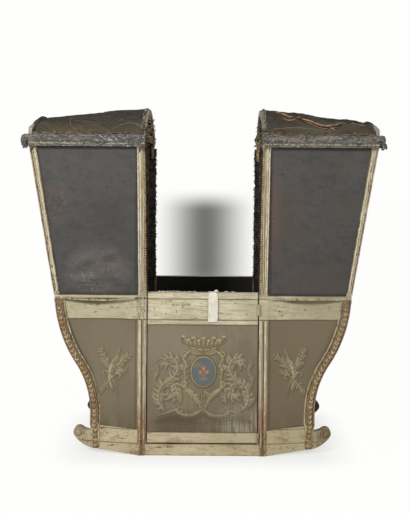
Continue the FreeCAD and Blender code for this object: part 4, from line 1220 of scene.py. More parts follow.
class CHAIR_OT_carving(bpy.types.Operator):
    """Carve the beads and leaves on the posts and the sills' scrolls, and wear the rails and the leather"""

    bl_idname = "chair.carving"
    bl_label = "Carving"

    def execute(self, context):
        # Depth 1.35 lightens the carved leaves as painted highlight.
        carved_paint("carved_leaf_painted_highlight", 0.6, 1.35)
        for word, side in SIDES.items():
            for end, sign in ENDS.items():
                self.corner_post("%s_%s" % (end, word), sign, side)
            self.scrolls(word, side)
            self.stops(word, side)
            self.hood_beads(word, side)
            self.cracks(word, side)
            if word == "near":
                self.flakes(side)
        return {"FINISHED"}

    def corner_post(self, which, sign, side):
        """The beads, grooves and running leaf of a corner post, with the curl at its head."""
        node = "corner_post_" + which
        low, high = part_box(node)
        tree = surface_of(node)
        rows = face_edges(node, side, np.linspace(low.z + 0.004, high.z - 0.003, 90))
        face = Vector((0, side, 0))
        inner = bmesh.new()
        sweep(inner, [a + (a - b).normalized() * 0.0022 - face * 0.0010 for a, b in rows], 0.0050, 8)
        piece_from(inner, "inner_bead_" + which, "cream_paint_posts")
        # Dark lines in the grooves beside the beads, as their painted shade.
        groove = bmesh.new()
        for share, radius in ((0.115, 0.0023), (0.83, 0.0015)):
            sweep(groove, [a + (b - a) * share - face * 0.0006 for a, b in rows], radius)
        piece_from(groove, "post_groove_" + which, "brown_rag")
        # The outer bead's pale pinkish tan is partly its paint and partly a painted highlight of the lit edge.
        outer = bmesh.new()
        sweep(outer, [a + (b - a) * 0.94 + face * 0.0006 for a, b in rows], 0.0040, 8)
        inner_top, outer_top = rows[-1]
        eye = outer_top + (inner_top - outer_top) * 0.25 + Vector((0, side * 0.001, -0.014))
        curl = coil((0, 0), 0.013, 100, 1.4, -sign, 0.2, 22)
        sweep(outer, [eye + Vector((x, 0, z)) for x, z in curl], 0.0030)
        piece_from(outer, "outer_bead_" + which, "rose_edge")
        leaves = bmesh.new()
        spine = []
        for a, b in rows:
            middle = a + (b - a) * 0.48
            hit = from_side(tree, side, middle.x, middle.z)[0]
            spine.append(middle if hit is None else hit)
        draw = random.Random(sign * 3 + side)
        for place, heading in spaced(spine, 0.024):
            if place.z > high.z - 0.03:
                continue
            across = heading.cross(face).normalized()
            for turn in (-1, 1):
                way = heading * 0.9 + across * turn * draw.uniform(0.35, 0.6)
                foot = place + across * turn * 0.0046 + face * 0.0004
                leaf(leaves, foot, way, face, draw.uniform(0.019, 0.024))
            stud(leaves, place + heading * 0.012 + face * 0.001, face, 0.0034, 0.8, 6)
        piece_from(leaves, "carved_leaves_" + which, "carved_leaf_painted_highlight", turned=False)

    def scrolls(self, word, side):
        """Dark spirals round the eyes of the sill's ends, painted as the shade of cut grooves."""
        tree = surface_of("sill_" + word)
        cuts = bmesh.new()
        for sign in ENDS.values():
            start = 200 if sign > 0 else -20
            points = laid_on(tree, side, coil((sign * 0.590, 0.092), 0.0245, start, 1.35, -sign, 0.42, 40))
            sweep(cuts, points, 0.0017)
            stud(cuts, points[-1] + Vector((-sign * 0.004, 0, -0.002)), (0, side, 0), 0.004, 0.4)
        piece_from(cuts, "scroll_cuts_" + word, "brown_rag")

    def stops(self, word, side):
        """The beads that the door shuts against, behind the gaps at its two edges and its foot."""
        low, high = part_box("door_frame_near")
        post_low, post_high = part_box("door_post_right_near")
        beads = bmesh.new()
        across = (abs(high.y) - 0.003 + abs(post_high.y)) / 2 + 0.0012
        for sign in ENDS.values():
            ups = (low.z - 0.004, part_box("door_mouldings_near")[1].z)
            line = [(sign * (post_low.x - 0.0042), side * across, up) for up in ups]
            sweep(beads, line, 0.0060, 4, 0.62, side=(1, 1, 0))
        inside = side * (abs(high.y) - 0.009)
        sweep(beads, [(along, inside, low.z - 0.002) for along in (-high.x, high.x)], 0.0065)
        piece_from(beads, "door_stops_" + word, "gap_wood", smooth=False)

    def cracks(self, word, side):
        """Broken joints and flaked paint on the rails, and scuffed crumples low on the left hood's leather."""
        draw = random.Random(61)
        dark = bmesh.new()
        pale = bmesh.new()
        across = abs(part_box("door_post_left_near")[0].y) + 0.0004
        for along in (-0.309, -0.296, -0.280):
            ups = np.linspace(0.648, 0.752, 9)
            line = [(along + draw.uniform(-0.006, 0.006), side * across, up) for up in ups]
            sweep(dark, curve_through(line, 4), 0.0011, 5)
        for along, *others in RAIL_SCRATCHES:
            rail = surface_of("waist_rail_%s_%s" % ("left" if along < 0 else "right", word))
            self.scratch(dark, rail, side, along, *others, 0.0014)
        tree = surface_of("hood_side_panel_left_" + word)
        for _ in range(44):
            along = draw.gauss(-0.548, 0.022)
            up = min(max(draw.gauss(0.832, 0.026), 0.785), 0.90)
            angle = draw.choice((0.1, 1.5, 1.9)) + draw.uniform(-0.5, 0.5)
            length = draw.uniform(0.003, 0.012)
            run, rise = length * math.cos(angle), length * math.sin(angle)
            self.scratch(pale, tree, side, along, up, run, rise, 0.0009)
        piece_from(dark, "paint_cracks_" + word, "brown_rag")
        piece_from(pale, "leather_scuffs_" + word, "grey_scuff")

    def flakes(self, side):
        """Flaked paint on the near door's frame and mouldings."""
        flakes = bmesh.new()
        trees = [surface_of("door_frame_near"), surface_of("door_mouldings_near")]
        for scratch in DOOR_SCRATCHES:
            for tree in trees:
                self.scratch(flakes, tree, side, *scratch, 0.0013)
        piece_from(flakes, "door_flakes", "brown_rag", "near_door")

    def scratch(self, maker, tree, side, along, up, run, rise, thick):
        """One bent scratch laid on a surface."""
        steep = abs(rise) > abs(run)
        line = []
        for share in np.linspace(0, 1, 6):
            bow = 0.25 * math.sin(math.pi * share) * (abs(run) + abs(rise))
            line.append((along + run * share + bow * steep, up + rise * share + bow * (not steep)))
        points = [hit for hit in laid_on(tree, side, line) if abs(hit.y) > 0.3]
        if len(points) > 2:
            radii = radii_along(points, thick, lambda share: 0.5 + math.sin(math.pi * (0.1 + 0.8 * share)))
            sweep(maker, points, radii, 5, 0.6)

    def hood_beads(self, word, side):
        """The beads on the hoods' posts, paler than the paint as painted highlights, the dark quirks beside
        them as painted shade of their grooves, and the sagging beads on their rails.
        """
        highlight_beads = bmesh.new()
        dark = bmesh.new()
        rails = bmesh.new()
        # Bright beads are painted highlights; dark quirks are painted shade of the grooves.
        post_beads = ((0.985, 0.0015, dark), (0.88, 0.0034, highlight_beads), (0.77, 0.0013, dark), (0.50, 0.0013, dark))
        hood_beads = ((0.03, 0.0018, dark), (0.30, 0.0032, highlight_beads), (0.80, 0.0022, dark))
        for end, sign in ENDS.items():
            door_post = "door_post_%s_%s" % (end, word)
            for node, foot, beads in ((door_post, 0.768, post_beads), ("hood_posts_" + end, 0.775, hood_beads)):
                edges = straight_edges(node, side, foot, HOOD_HEAD)
                for share, radius, maker in beads:
                    points = [a + (b - a) * share - Vector((0, side * 0.0006, 0)) for a, b in edges]
                    sweep(maker, points, [radius * (1 + 0.3 * rippled(p, 7, 24)) for p in points])
            low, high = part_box("hood_rail_" + end)
            sag = 0.012 if end == "left" else 0.004
            across = side * max(abs(low.y), abs(high.y))
            points = []
            for share in np.linspace(0, 1, 40):
                wave = 0.0012 * rippled((share, sign, side), 5, 9)
                up = low.z + 0.004 - sag * (1 - (share * 2 - 1) ** 2) + wave
                points.append(Vector((low.x + 0.004 + (high.x - low.x - 0.008) * share, across, up)))
            sweep(rails, points, [0.0060 * (1 + 0.15 * rippled(p, 3, 30)) for p in points], 8, 0.8)
        piece_from(rails, "rail_beads_" + word, "cream_paint_posts")
        piece_from(highlight_beads, "hood_beads_" + word, "pale_bead_painted_highlight")
        piece_from(dark, "hood_quirks_" + word, "brown_rag")


# The creases of each roof's leather: two ends, each along and across, then width and height.
CREASES = {
    "left": (
        ((0.76, -0.365), (0.655, -0.20), 0.006, 0.008),
        ((0.665, -0.19), (0.440, -0.372), 0.006, 0.009),
        ((0.62, -0.26), (0.56, -0.37), 0.007, 0.005),
        ((0.50, -0.16), (0.34, -0.30), 0.014, 0.004),
        ((0.42, -0.34), (0.30, -0.20), 0.008, 0.006),
        ((0.78, 0.05), (0.40, 0.22), 0.010, 0.007),
        ((0.60, 0.30), (0.34, 0.12), 0.009, 0.006),
        ((0.50, -0.02), (0.30, 0.06), 0.012, 0.006),
    ),
    "right": (
        ((0.32, -0.12), (0.50, -0.30), 0.010, 0.008),
        ((0.44, -0.05), (0.60, -0.22), 0.012, 0.010),
        ((0.60, -0.28), (0.79, -0.22), 0.010, 0.008),
        ((0.66, -0.12), (0.78, -0.02), 0.010, 0.006),
        ((0.36, 0.10), (0.60, 0.26), 0.010, 0.007),
        ((0.70, 0.08), (0.46, 0.30), 0.009, 0.006),
    ),
}
CRESTS = {
    "left": (
        ((0.790, -0.372), (0.720, -0.290), (0.655, -0.200), (0.560, -0.270), (0.445, -0.372)),
        ((0.655, -0.200), (0.640, -0.300), (0.600, -0.370)),
        ((0.44, -0.355), (0.36, -0.30), (0.30, -0.33)),
    ),
    "right": (((0.33, -0.345), (0.46, -0.325), (0.60, -0.352)), ((0.64, -0.20), (0.72, -0.24), (0.79, -0.23))),
}
TEARS = (
    (((0.350, -0.165), (0.378, -0.200), (0.413, -0.235), (0.440, -0.222), (0.475, -0.190)), 0.0150, 3),
    (((0.470, -0.215), (0.515, -0.262), (0.569, -0.309), (0.620, -0.296), (0.672, -0.262)), 0.0140, 8),
    (((0.590, -0.305), (0.605, -0.330), (0.622, -0.345)), 0.009, 12),
)


class Roof:
    """One hood's roof, with what lays leather on it."""

    def __init__(self, end):
        self.end = end
        self.sign = ENDS[end]
        self.low, self.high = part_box("roof_right")
        self.tree = surface_of("roof_" + end)

    def lift(self, along, across):
        """How far the leather stands off the roof: creases, ripples and a swell on the left."""
        low, high = self.low.x, self.high.x
        height = 0.0
        for (x0, y0), (x1, y1), width, rise in CREASES[self.end]:
            run = (x1 - x0) ** 2 + (y1 - y0) ** 2
            share = min(1.0, max(0.0, ((along - x0) * (x1 - x0) + (across - y0) * (y1 - y0)) / run))
            gap = math.hypot(along - x0 - share * (x1 - x0), across - y0 - share * (y1 - y0))
            swell = math.sin(math.pi * min(1, 0.08 + share * 0.92)) ** 0.4
            height += rise * math.exp(-((gap / width) ** 2)) * swell
        place = (along, across, 0)
        lift = 0.003 + height
        lift += 0.004 * rippled(place, 2 + self.sign, 7) + 0.0022 * rippled(place, 5, 24)
        lift += 0.0012 * rippled(place, 8 + self.sign, 70)
        rim = min(1.0, (high - along) / 0.03, (along - low) / 0.008 + 0.25)
        lift = max(0.0012, lift * max(0.15, rim))
        if self.end == "left":
            lift += 0.013 * ((along - low) / (high - low)) * math.cos(math.pi * across) ** 2
        return lift

    def on_leather(self, along, across, stand=0.0):
        """A place on the leather, or standing off it by a little."""
        hit, normal = from_above(self.tree, self.sign * along, across)
        return hit + normal * (self.lift(along, across) + stand)


class CHAIR_OT_roofs(bpy.types.Operator):
    """Lay the creased and torn leather over the roofs"""

    bl_idname = "chair.roofs"
    bl_label = "Roof Leather"

    def execute(self, context):
        for end in ENDS:
            roof = Roof(end)
            self.skin(roof)
            self.seam(roof)
            self.end_roll(roof)
            self.inner_rim(roof)
            self.ridges(roof)
        self.tears(roof)
        return {"FINISHED"}

    def skin(self, roof):
        low, high = roof.low, roof.high
        skin = bmesh.new()
        bmesh.ops.create_grid(skin, x_segments=110, y_segments=150, size=0.5)
        for vertex in skin.verts:
            along = low.x + 0.0015 + (vertex.co.x + 0.5) * (high.x - low.x - 0.003)
            vertex.co = roof.on_leather(along, vertex.co.y * 2 * 0.3845)
            vertex.co.z = min(vertex.co.z, high.z + 0.009)
        upwards(skin)
        piece = piece_from(skin, "roof_skin_" + roof.end, "roof_hide", turned=False)
        thickened(piece, 0.0012)

    def ridges(self, roof):
        """The worn crests of the longest creases and the reddened inner edge, unlike the leather round them."""
        crests = bmesh.new()
        for number, line in enumerate(CRESTS[roof.end]):
            rows = []
            for along, across in curve_through(line, 9):
                wave = rippled((along, across, number), 3, 50)
                place = roof.on_leather(along, across, 0.0005 + 0.0006 * wave)
                rows.append((place, 0.0036 * (1 + 0.8 * wave)))
            bar(crests, rows, 6, 0.35)
        piece_from(crests, "roof_crests_" + roof.end, "dry_leather")
        strip = bmesh.new()
        rows = []
        for share in np.linspace(0, 1, 60):
            along = 0.292 + 0.003 * rippled((share, roof.sign, 0), 6, 12)
            radius = 0.0052 * (1 + 0.5 * rippled((share, roof.sign, 1), 7, 26)) * min(1, 0.2 + 4 * (1 - share))
            rows.append((roof.on_leather(along, -0.378 + 0.40 * share, 0.0008), radius))
        bar(strip, rows, 8, 0.4)
        piece_from(strip, "roof_edge_strip_" + roof.end, "red_leather")

    def end_roll(self, roof):
        """The leather rolled over the hoop at the roof's outer end, thinning out towards the eaves."""
        sign, high = roof.sign, roof.high
        half = 0.352
        roll = bmesh.new()
        rows = []
        for index in range(81):
            across = -half + 2 * half * index / 80
            hit = from_above(roof.tree, sign * (high.x - 0.006), across)[0]
            swell = 0.013 * math.cos(math.pi * across) ** 2 if roof.end == "left" else 0.0
            wave = rippled((across, sign, 0), 6, 14)
            fold = rippled((across, sign, 0), 11, 60)
            place = (sign * (high.x + 0.004 + 0.003 * wave), across, hit.z + swell - 0.005 + 0.002 * fold)
            thin = min(1.0, 0.35 + (half - abs(across)) / 0.05)
            rows.append((place, 0.0145 * (1 + 0.18 * wave + 0.22 * fold) * thin))
        bar(roll, rows, 12)
        roughen(roll, lambda place: 0.0018 * rippled(place, 4, 90))
        for vertex in roll.verts:
            vertex.co.x = sign * min(abs(vertex.co.x), high.x + 0.021)
        piece_from(roll, "roof_end_roll_" + roof.end, "roof_hide", turned=False)

    def inner_rim(self, roof):
        """The cracked edge of the leather round the arch over the doorway, greyed where it has curled."""
        sign = roof.sign
        rim = bmesh.new()
        for seed, inset, thick in ((3, 0.002, 0.0052), (8, 0.009, 0.0036)):
            rows = []
            for index in range(140):
                across = -EAVES + 2 * EAVES * index / 139
                spot = (across, sign, seed)
                hit, normal = from_above(roof.tree, sign * (roof.low.x + 0.004), across)
                stand = 0.003 + 0.002 * rippled(spot, 4, 30)
                place = hit + Vector((sign * (inset - 0.004), 0, 0)) + normal * stand
                place.x += sign * 0.003 * rippled(spot, 9, 24)
                rows.append((place, thick * (1 + 0.55 * rippled(spot, 5, 44))))
            bar(rim, rows, 7, 0.8)
        roughen(rim, lambda place: 0.0012 * rippled(place, 6, 160))
        piece_from(rim, "roof_inner_rim_" + roof.end, "loose_leather", turned=False)

    def seam(self, roof):
        """The torn edge of the leather along the eaves, curled and bared to tan."""
        low, high, sign = roof.low.x, roof.high.x, roof.sign
        torn = bmesh.new()
        draw = random.Random(31 + sign)
        for side in (-1, 1):
            rows = []
            for index in range(90):
                along = low + 0.004 + (high - low - 0.01) * index / 89
                across = EAVES + 0.004 * rippled((along, side, 0), 4 + sign, 26)
                up = 1.5245 + 0.0035 * rippled((along, side, 1), 6, 40)
                radius = 0.0030 * (1 + 0.9 * rippled((along, side, 2), 7 + sign, 55))
                rows.append(((sign * along, side * across, up), radius))
            bar(torn, rows, 7, 0.7)
            for _ in range(12):
                along = draw.uniform(low + 0.02, high - 0.04)
                reach = draw.uniform(0.012, 0.03)
                lift = draw.uniform(0.001, 0.006)
                tongue = [
                    (sign * along, side * 0.384, 1.527),
                    (sign * (along + reach * 0.5), side * 0.380, 1.529 + lift),
                    (sign * (along + reach), side * 0.376, 1.530 + lift * 0.8),
                ]
                sweep(torn, tongue, [0.0035, 0.004, 0.0012], 5, 0.5)
        piece_from(torn, "torn_seam_" + roof.end, "tan_leather")

    def tears(self, roof):
        """Long tears on the right roof: dark slits, painted as the shade inside the tears, with curled tan
        lips.
        """
        slits = bmesh.new()
        lips = bmesh.new()
        for line, wide, seed in TEARS:
            path = curve_through(line, 9)
            count = len(path) - 1
            for maker, shift, radius, flat, lift in (
                (slits, 0.0, wide, 0.3, 0.0016),
                (lips, 0.8, wide * 0.34, 0.6, 0.0052),
                (lips, -0.9, wide * 0.14, 0.6, 0.0026),
            ):
                rows = []
                for index, place in enumerate(path):
                    ahead = path[min(index + 1, count)] - path[max(index - 1, 0)]
                    ahead = ahead / np.hypot(*ahead)
                    swell = math.sin(math.pi * (0.04 + 0.92 * (index / count))) ** 0.7
                    along = place[0] - ahead[1] * shift * wide * swell
                    across = place[1] + ahead[0] * shift * wide * swell
                    thick = radius * (0.25 + 0.75 * swell) * (1 + 0.25 * rippled((along, across, 3), seed, 45))
                    rows.append((roof.on_leather(along, across, lift), thick))
                bar(maker, rows, 8, flat, side=(0, 1, 0.2) if maker is slits else None)
        # The slits' black is painted shade inside the tears.
        piece_from(slits, "roof_tears", "black_rag")
        piece_from(lips, "roof_tear_lips", "bared_hide")


def jamb_edge(up):
    """Distance along to the doorway edge of a hood's jamb at a height: it leans outwards by 12 mm."""
    low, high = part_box("hood_rail_right")
    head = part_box("cornice_right")[0].z
    return low.x + 0.012 * (up - high.z) / (head - high.z)


# Hanging shreds: name, finish, seed and count.
SHREDS = (
    ("tan_shreds", "tan_leather", 5, 26),
    ("olive_shreds", "olive_rag", 9, 46),
    ("grey_shreds", "loose_leather", 14, 22),
)
# Matted shreds: name, finish, seed, middle and spread along and up, and count.
BUNCHES = (
    ("olive", "olive_rag", 5, (-0.268, 1.548), (0.022, 0.050), 46),
    ("black", "black_rag", 6, (-0.262, 1.525), (0.020, 0.046), 40),
    ("tan", "tan_leather", 7, (-0.258, 1.498), (0.024, 0.022), 26),
    ("drab", "dry_leather", 8, (0.272, 1.520), (0.014, 0.036), 26),
    ("brown", "brown_rag", 9, (0.266, 1.545), (0.014, 0.050), 26),
)


class CHAIR_OT_jamb_linings(bpy.types.Operator):
    """Hang the ragged black lining on the hoods' jambs, with its gimp, shreds and flaps"""

    bl_idname = "chair.jamb_linings"
    bl_label = "Jamb Linings"

    def execute(self, context):
        gimp = bmesh.new()
        shade = bmesh.new()
        frays = bmesh.new()
        for end, sign in ENDS.items():
            for word, side in SIDES.items():
                self.lining("%s_%s" % (end, word), sign, side, gimp, shade, frays)
        piece_from(gimp, "jamb_gimp", "gimp_cord")
        piece_from(shade, "jamb_gimp_shadow_strip", "gimp_shade")
        piece_from(frays, "lining_frays", "black_rag", smooth=False)
        for shreds in SHREDS:
            self.shreds(*shreds)
        self.flaps()
        for bunch in BUNCHES:
            self.bunch(*bunch)
        return {"FINISHED"}

    def lining(self, which, sign, side, gimp, shade, frays):
        """One jamb's ragged lining and its frays, and the gimp along the jamb's edge."""
        jamb_low, jamb_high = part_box("door_post_right_near")
        face = abs(jamb_high.y)
        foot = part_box("hood_rail_right")[1].z + 0.004
        head = jamb_high.z - 0.003
        lining = bmesh.new()
        bmesh.ops.create_grid(lining, x_segments=10, y_segments=170, size=0.5)
        for vertex in lining.verts:
            share = vertex.co.x + 0.5
            up = foot + (vertex.co.y + 0.5) * (head - foot)
            ragged = 0.004 * rippled((up, sign, side), 3, 34) + 0.0035 * rippled((up, sign, side), 5, 120)
            along = jamb_low.x - 0.003 + ragged * (1 - share) + share * 0.062
            depth = face - 0.0025 - 0.003 * rippled((along, up, side), 6, 60) * share - 0.002
            vertex.co = (sign * along, side * depth, up)
        piece = piece_from(lining, "jamb_lining_" + which, "black_rag", turned=False)
        thickened(piece, 0.002, offset=0)
        draw = random.Random(sign * 11 + side)
        for _ in range(70):
            up = draw.uniform(foot, head)
            start = Vector((sign * (jamb_low.x - 0.002), side * (face - draw.uniform(0.0, 0.006)), up))
            along, across = -sign * draw.uniform(0.002, 0.010), side * draw.uniform(-0.006, 0.002)
            reach = Vector((along, across, draw.uniform(-0.012, 0.004)))
            sweep(frays, [start, start + reach * 0.6, start + reach], [0.0022, 0.0018, 0.0007], 4)
        ups = np.linspace(foot, head, 60)
        line = [(sign * (0.0050 + jamb_edge(up)), up) for up in ups]
        under = laid_on(surface_of("door_post_" + which), side, line)
        for place, heading in spaced(under, 0.0115):
            stud(gimp, place + Vector((0, side * 0.0026, 0)), (0, side, 0), 0.0047, 0.7, 6)
        # A dark strip under the studs, painted as their shadow.
        sweep(shade, under, 0.0052, 6, 0.6)
        across = side * (abs(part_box("hood_rail_right")[0].y) - 0.004)
        edge = [Vector((sign * (jamb_edge(up) - 0.0005), across, up)) for up in ups]
        sweep(frays, edge, [0.0042 * (1 + 0.5 * rippled((point.z, sign, side), 2, 60)) for point in edge])

    def bunch(self, name, finish, seed, centre, spread, count):
        """Matted shreds of leather, webbing and cloth where the roofs meet the open middle."""
        draw = random.Random(seed)
        bunch = bmesh.new()
        for _ in range(count):
            along, up = (draw.gauss(middle, width * 0.6) for middle, width in zip(centre, spread))
            along = min(max(along, centre[0] - 1.4 * spread[0]), centre[0] + 1.4 * spread[0])
            up = min(max(up, centre[1] - 1.4 * spread[1]), centre[1] + 1.4 * spread[1])
            start = Vector((along, draw.uniform(-0.392, -0.362), up))
            way = Vector((draw.uniform(-1, 1), draw.uniform(-0.4, 0.2), draw.uniform(-1.2, 0.6))).normalized()
            run = draw.uniform(0.010, 0.026)
            bend = Vector((draw.uniform(-1, 1), 0, draw.uniform(-1, 1))) * run * 0.3
            thick = draw.uniform(0.0018, 0.0042)
            line = curve_through([start, start + way * run * 0.5 + bend, start + way * run], 3)
            sweep(bunch, line, radii_along(line, thick, lambda share: 1 - 0.6 * share), 5, 0.5)
        piece_from(bunch, "roof_rags_" + name, finish, smooth=False)

    def shreds(self, name, finish, seed, count):
        """Torn leather or cloth hanging from the roofs' inner corners."""
        draw = random.Random(seed)
        maker = bmesh.new()
        for index in range(count):
            sign = -1 if index % 3 else 1
            side = -1 if index % 4 else 1
            along = draw.uniform(0.272, 0.305)
            up = draw.uniform(1.455, 1.55)
            across = 0.352 + draw.uniform(-0.012, 0.030) * (1 if up < 1.52 else 0.3)
            lean_along, lean_across = -sign * draw.uniform(-0.6, 0.5), side * draw.uniform(-0.3, 0.1)
            lean = Vector((lean_along, lean_across, draw.uniform(-1.0, 0.1))).normalized()
            reach = draw.uniform(0.012, 0.034)
            turn = Vector((draw.uniform(-1, 1), draw.uniform(-1, 1), draw.uniform(-0.6, 0.6))) * 0.35
            points = [Vector((sign * along, side * across, up))]
            for _ in range(4):
                lean = (lean + turn * draw.uniform(0.4, 1.4)).normalized()
                points.append(points[-1] + lean * reach / 4)
            width = draw.uniform(0.005, 0.010)
            sweep(maker, points, [width * share for share in (0.7, 1, 0.9, 0.8, 0.35)], 7, 0.3)
        piece_from(maker, name, finish, smooth=False)

    def flaps(self):
        """Strips of pale lining that hang inside the open middle."""
        flap = bmesh.new()
        for sign, side, along, head, foot, wide, seed in (
            (1, 1, 0.286, 1.500, 1.392, 0.015, 2),
            (-1, 1, 0.283, 1.470, 1.405, 0.010, 5),
            (1, -1, 0.284, 1.500, 1.455, 0.009, 6),
        ):
            rows = []
            for index in range(13):
                share = index / 12
                x = sign * (along + 0.006 * rippled((share, 0, 0), seed, 3))
                radius = wide * (1 - 0.35 * share) * (1 + 0.3 * rippled((share, 1, 0), seed, 6))
                rows.append(((x, side * (0.312 - 0.006 * share), head + (foot - head) * share), radius))
            bar(flap, rows, 8, 0.12, side=(1, 0, 0))
        piece_from(flap, "lining_flaps", "pale_flap")


class CHAIR_OT_pull_strap(bpy.types.Operator):
    """Drape the cotton pull strap over the near door, with the torn lining along the door's top"""

    bl_idname = "chair.pull_strap"
    bl_label = "Pull Strap"

    def execute(self, context):
        low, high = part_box("pull_strap")
        cap_low, cap_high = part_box("door_mouldings_near")
        front = cap_low.y - 0.0018
        back = cap_high.y + 0.0018
        top = cap_high.z + 0.0019
        line = [
            (front + 0.0005, low.z + 0.002),
            (front - 0.0006, 0.66),
            (front + 0.0003, 0.70),
            (front - 0.0004, 0.745),
            (front, top - 0.006),
            (front + 0.004, top),
            (front + 0.014, top + 0.0002),
            (back - 0.012, top + 0.0002),
            (back - 0.003, top),
            (back, top - 0.006),
            (back + 0.0003, 0.735),
            (back, 0.70),
            (back + 0.0003, 0.668),
        ]
        path = curve_through(line, 7)
        length = length_of(path)
        count = len(path) - 1
        wide = high.x - low.x - 0.004
        tape = bmesh.new()
        bmesh.ops.create_grid(tape, x_segments=14, y_segments=count, size=0.5)
        for vertex in tape.verts:
            row = round((vertex.co.y + 0.5) * count)
            share = row / count
            across, up = path[row]
            pinch = 1 - 0.30 * math.exp(-(((share - 0.42) / 0.07) ** 2)) - 0.10 * share
            along = (low.x + high.x) / 2 + vertex.co.x * wide * pinch + 0.002 * math.sin(share * 9)
            crumple = abs(0.0012 * rippled((vertex.co.x * 3, share * 9, 0), 4, 1.6))
            if 0.36 < share < 0.6:
                up += crumple
            else:
                across -= crumple if share < 0.5 else -crumple
            vertex.co = (along, across, up)
        outwards(tape)
        strap = piece_from(tape, "cotton_strap", "cotton_tape", "near_door", turned=False)
        thickened(strap, 0.0016, offset=0)
        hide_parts("pull_strap")
        self.fringe(cap_high)
        knot = bmesh.new()
        middle = Vector(((low.x + high.x) / 2 + 0.016, (front + back) / 2 - 0.008, top + 0.006))
        for radius, rise, turn in ((0.008, 0.0, 0), (0.006, 0.003, 70), (0.007, 0.002, 140)):
            angle = math.radians(turn)
            reach = Vector((math.cos(angle), math.sin(angle) * 0.6, 0)) * 0.010
            points = [middle - reach, middle + Vector((0, 0, rise)), middle + reach + Vector((0, 0, -0.002))]
            sweep(knot, points, [radius * 0.5, radius, radius * 0.45], 8, 0.6)
        bow = piece_from(knot, "strap_knot", "cotton_tape", "near_door")
        return {"FINISHED"}

    def fringe(self, high):
        """The torn white edge of the lining that shows along the top of the door."""
        draw = random.Random(44)
        fringe = bmesh.new()
        for along, end in ((-0.215, -0.045), (0.10, 0.135)):
            while along < end:
                run = draw.uniform(0.008, 0.026)
                lift = draw.uniform(-0.0005, 0.0035)
                line = [
                    (along, high.y - 0.0035, high.z + 0.0005),
                    (along + run * 0.5, high.y - 0.0025, high.z + 0.0015 + lift),
                    (along + run, high.y - 0.004, high.z + 0.0006),
                ]
                sweep(fringe, line, [0.0014, draw.uniform(0.0016, 0.003), 0.0010], 6, 0.7)
                along += run * draw.uniform(0.7, 1.6)
        piece_from(fringe, "door_fringe", "white_rag", "near_door", smooth=False)


class CHAIR_OT_stage(bpy.types.Operator):
    """Set the floor, the lights and the camera"""

    bl_idname = "chair.stage"
    bl_label = "Stage"

    def execute(self, context):
        scene = context.scene
        sweep_back = bmesh.new()
        corner = 0.5
        wall = 1.55
        line = [(-14.0, 0.0), (-1.0, 0.0), (wall - corner, 0.0)]
        for index in range(1, 9):
            angle = math.radians(90 * index / 8)
            line.append((wall - corner + corner * math.sin(angle), corner - corner * math.cos(angle)))
        line.append((wall, 7.0))
        verts = [sweep_back.verts.new((-9, across, up)) for across, up in line]
        edges = [sweep_back.edges.new(pair) for pair in zip(verts, verts[1:])]
        grown = bmesh.ops.extrude_edge_only(sweep_back, edges=edges)["geom"]
        moved = [item for item in grown if isinstance(item, bmesh.types.BMVert)]
        bmesh.ops.translate(sweep_back, vec=(18, 0, 0), verts=moved)
        upwards(sweep_back)
        mesh = bpy.data.meshes.new("studio_sweep")
        sweep_back.to_mesh(mesh)
        sweep_back.free()
        ground = bpy.data.objects.new("studio_sweep", mesh)
        scene.collection.objects.link(ground)
        mesh.materials.append(stage_white())
        mesh.shade_smooth()
        make_world(scene)
        for name, place, aim, size, power in (
            ("left_light", (-2.7, -4.2, 3.2), 0.9, 0.8, 165),
            ("right_light", (2.7, -4.2, 3.2), 0.9, 0.8, 45),
            ("front_light", (0.0, -5.6, 1.7), 0.8, 2.6, 30),
        ):
            lamp = bpy.data.lights.new(name, "AREA")
            lamp.size = size
            lamp.energy = power
            light = bpy.data.objects.new(name, lamp)
            light.location = place
            light.rotation_euler = (Vector((0, 0, aim)) - Vector(place)).to_track_quat("-Z", "Y").to_euler()
            scene.collection.objects.link(light)
        camera = bpy.data.objects.new("camera", bpy.data.cameras.new("camera"))
        camera.data.lens = 74.5
        camera.data.shift_x = -0.021
        camera.data.shift_y = -0.188
        camera.location = (0.056, -5.40, 1.4014)
        camera.rotation_euler = (math.radians(90), math.radians(-0.42), 0)
        scene.collection.objects.link(camera)
        scene.camera = camera
        scene.view_settings.view_transform = "Standard"
        return {"FINISHED"}


def stage_white():
    """White for the camera, with a painted soft shadow of the chair on the wall behind it; clear from behind,
    to hide nothing.
    """
    finish = Finish("studio_white")
    finish.done((0.85, 0.85, 0.85), 1.0)
    wall = finish.z.over(0.5, 0.4)
    # Painted shadow: a soft grey patch on the wall where the chair's shadow would fall behind the open middle.
    band = finish.x.over(-0.195, 0.37) * finish.x.under(0.179, 0.37) * finish.z.under(1.142, 0.157)
    painted = finish.blend((0.0, 0.0, 0.0), (1.0, 1.0, 0.985), 1 - wall * band * 0.83)
    glow = finish.add("ShaderNodeEmission", values={"Color": painted, "Strength": 1.0})
    apart = ((abs(finish.x) - 0.5).larger(0) ** 2 + (abs(finish.y) - 0.36).larger(0) ** 2) ** 0.5
    light = finish.add("ShaderNodeLightPath").outputs
    seen = Amount(finish, light["Is Camera Ray"]).larger(Amount(finish, light["Is Glossy Ray"]))
    share = seen * (0.62 + 0.35 * apart.over(0.14, 0.28))
    lit = finish.shader.outputs[0]
    white = finish.add("ShaderNodeMixShader", values={0: share, 1: lit, 2: glow.outputs[0]})
    clear = finish.add("ShaderNodeBsdfTransparent")
    behind = finish.add("ShaderNodeNewGeometry").outputs["Backfacing"]
    both = finish.add("ShaderNodeMixShader", values={0: behind, 1: white.outputs[0], 2: clear.outputs[0]})
    finish.feed(finish.output.inputs["Surface"], both.outputs[0])
    return finish.material


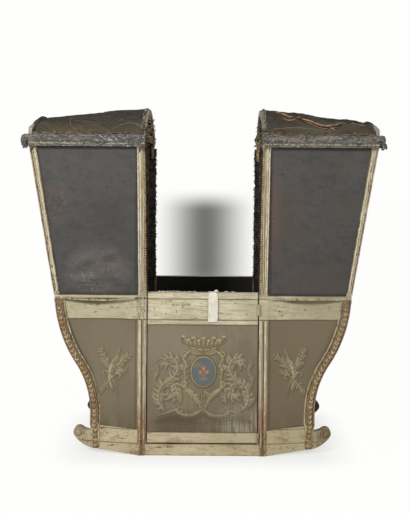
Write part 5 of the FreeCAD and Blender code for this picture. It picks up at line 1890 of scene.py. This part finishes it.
def make_world(scene):
    """White to the camera, dimmer as light on the chair."""
    world = bpy.data.worlds.new("studio")
    world.use_nodes = True
    tree = world.node_tree
    tree.nodes.clear()
    output = tree.nodes.new("ShaderNodeOutputWorld")
    path = tree.nodes.new("ShaderNodeLightPath")
    either = tree.nodes.new("ShaderNodeMath")
    either.operation = "MAXIMUM"
    tree.links.new(path.outputs["Is Camera Ray"], either.inputs[0])
    tree.links.new(path.outputs["Is Transmission Ray"], either.inputs[1])
    mix = tree.nodes.new("ShaderNodeMixShader")
    tree.links.new(either.outputs[0], mix.inputs[0])
    for index, strength in ((1, 0.36), (2, 1.0)):
        shade = tree.nodes.new("ShaderNodeBackground")
        shade.inputs["Color"].default_value = (1, 1, 1, 1)
        shade.inputs["Strength"].default_value = strength
        tree.links.new(shade.outputs[0], mix.inputs[index])
    tree.links.new(mix.outputs[0], output.inputs["Surface"])
    scene.world = world


class CHAIR_PT_panel(bpy.types.Panel):
    """The chair's operators and settings"""

    bl_idname = "CHAIR_PT_panel"
    bl_label = "Sedan Chair"
    bl_space_type = "VIEW_3D"
    bl_region_type = "UI"
    bl_category = "Sedan Chair"

    def draw(self, context):
        for operator in OPERATORS:
            self.layout.operator(operator.bl_idname)
        for group in (context.scene.chair_sizes, context.scene.chair_colours):
            for name in group.bl_rna.properties.keys():
                if name not in ("rna_type", "name"):
                    self.layout.prop(group, name)


OPERATORS = (
    CHAIR_OT_stage,
    CHAIR_OT_finishes,
    CHAIR_OT_painted_panels,
    CHAIR_OT_carving,
    CHAIR_OT_cornices,
    CHAIR_OT_jamb_linings,
    CHAIR_OT_roofs,
    CHAIR_OT_pull_strap,
)
CLASSES = (ChairColours, ChairSizes, *OPERATORS, CHAIR_PT_panel)


def register():
    for item in CLASSES:
        bpy.utils.register_class(item)
    bpy.types.Scene.chair_colours = PointerProperty(type=ChairColours)
    bpy.types.Scene.chair_sizes = PointerProperty(type=ChairSizes)


def unregister():
    del bpy.types.Scene.chair_colours
    del bpy.types.Scene.chair_sizes
    for item in reversed(CLASSES):
        bpy.utils.unregister_class(item)


def main():
    register()
    for operator in OPERATORS:
        group, action = operator.bl_idname.split(".")
        getattr(getattr(bpy.ops, group), action)()


if __name__ == "__main__":
    main()
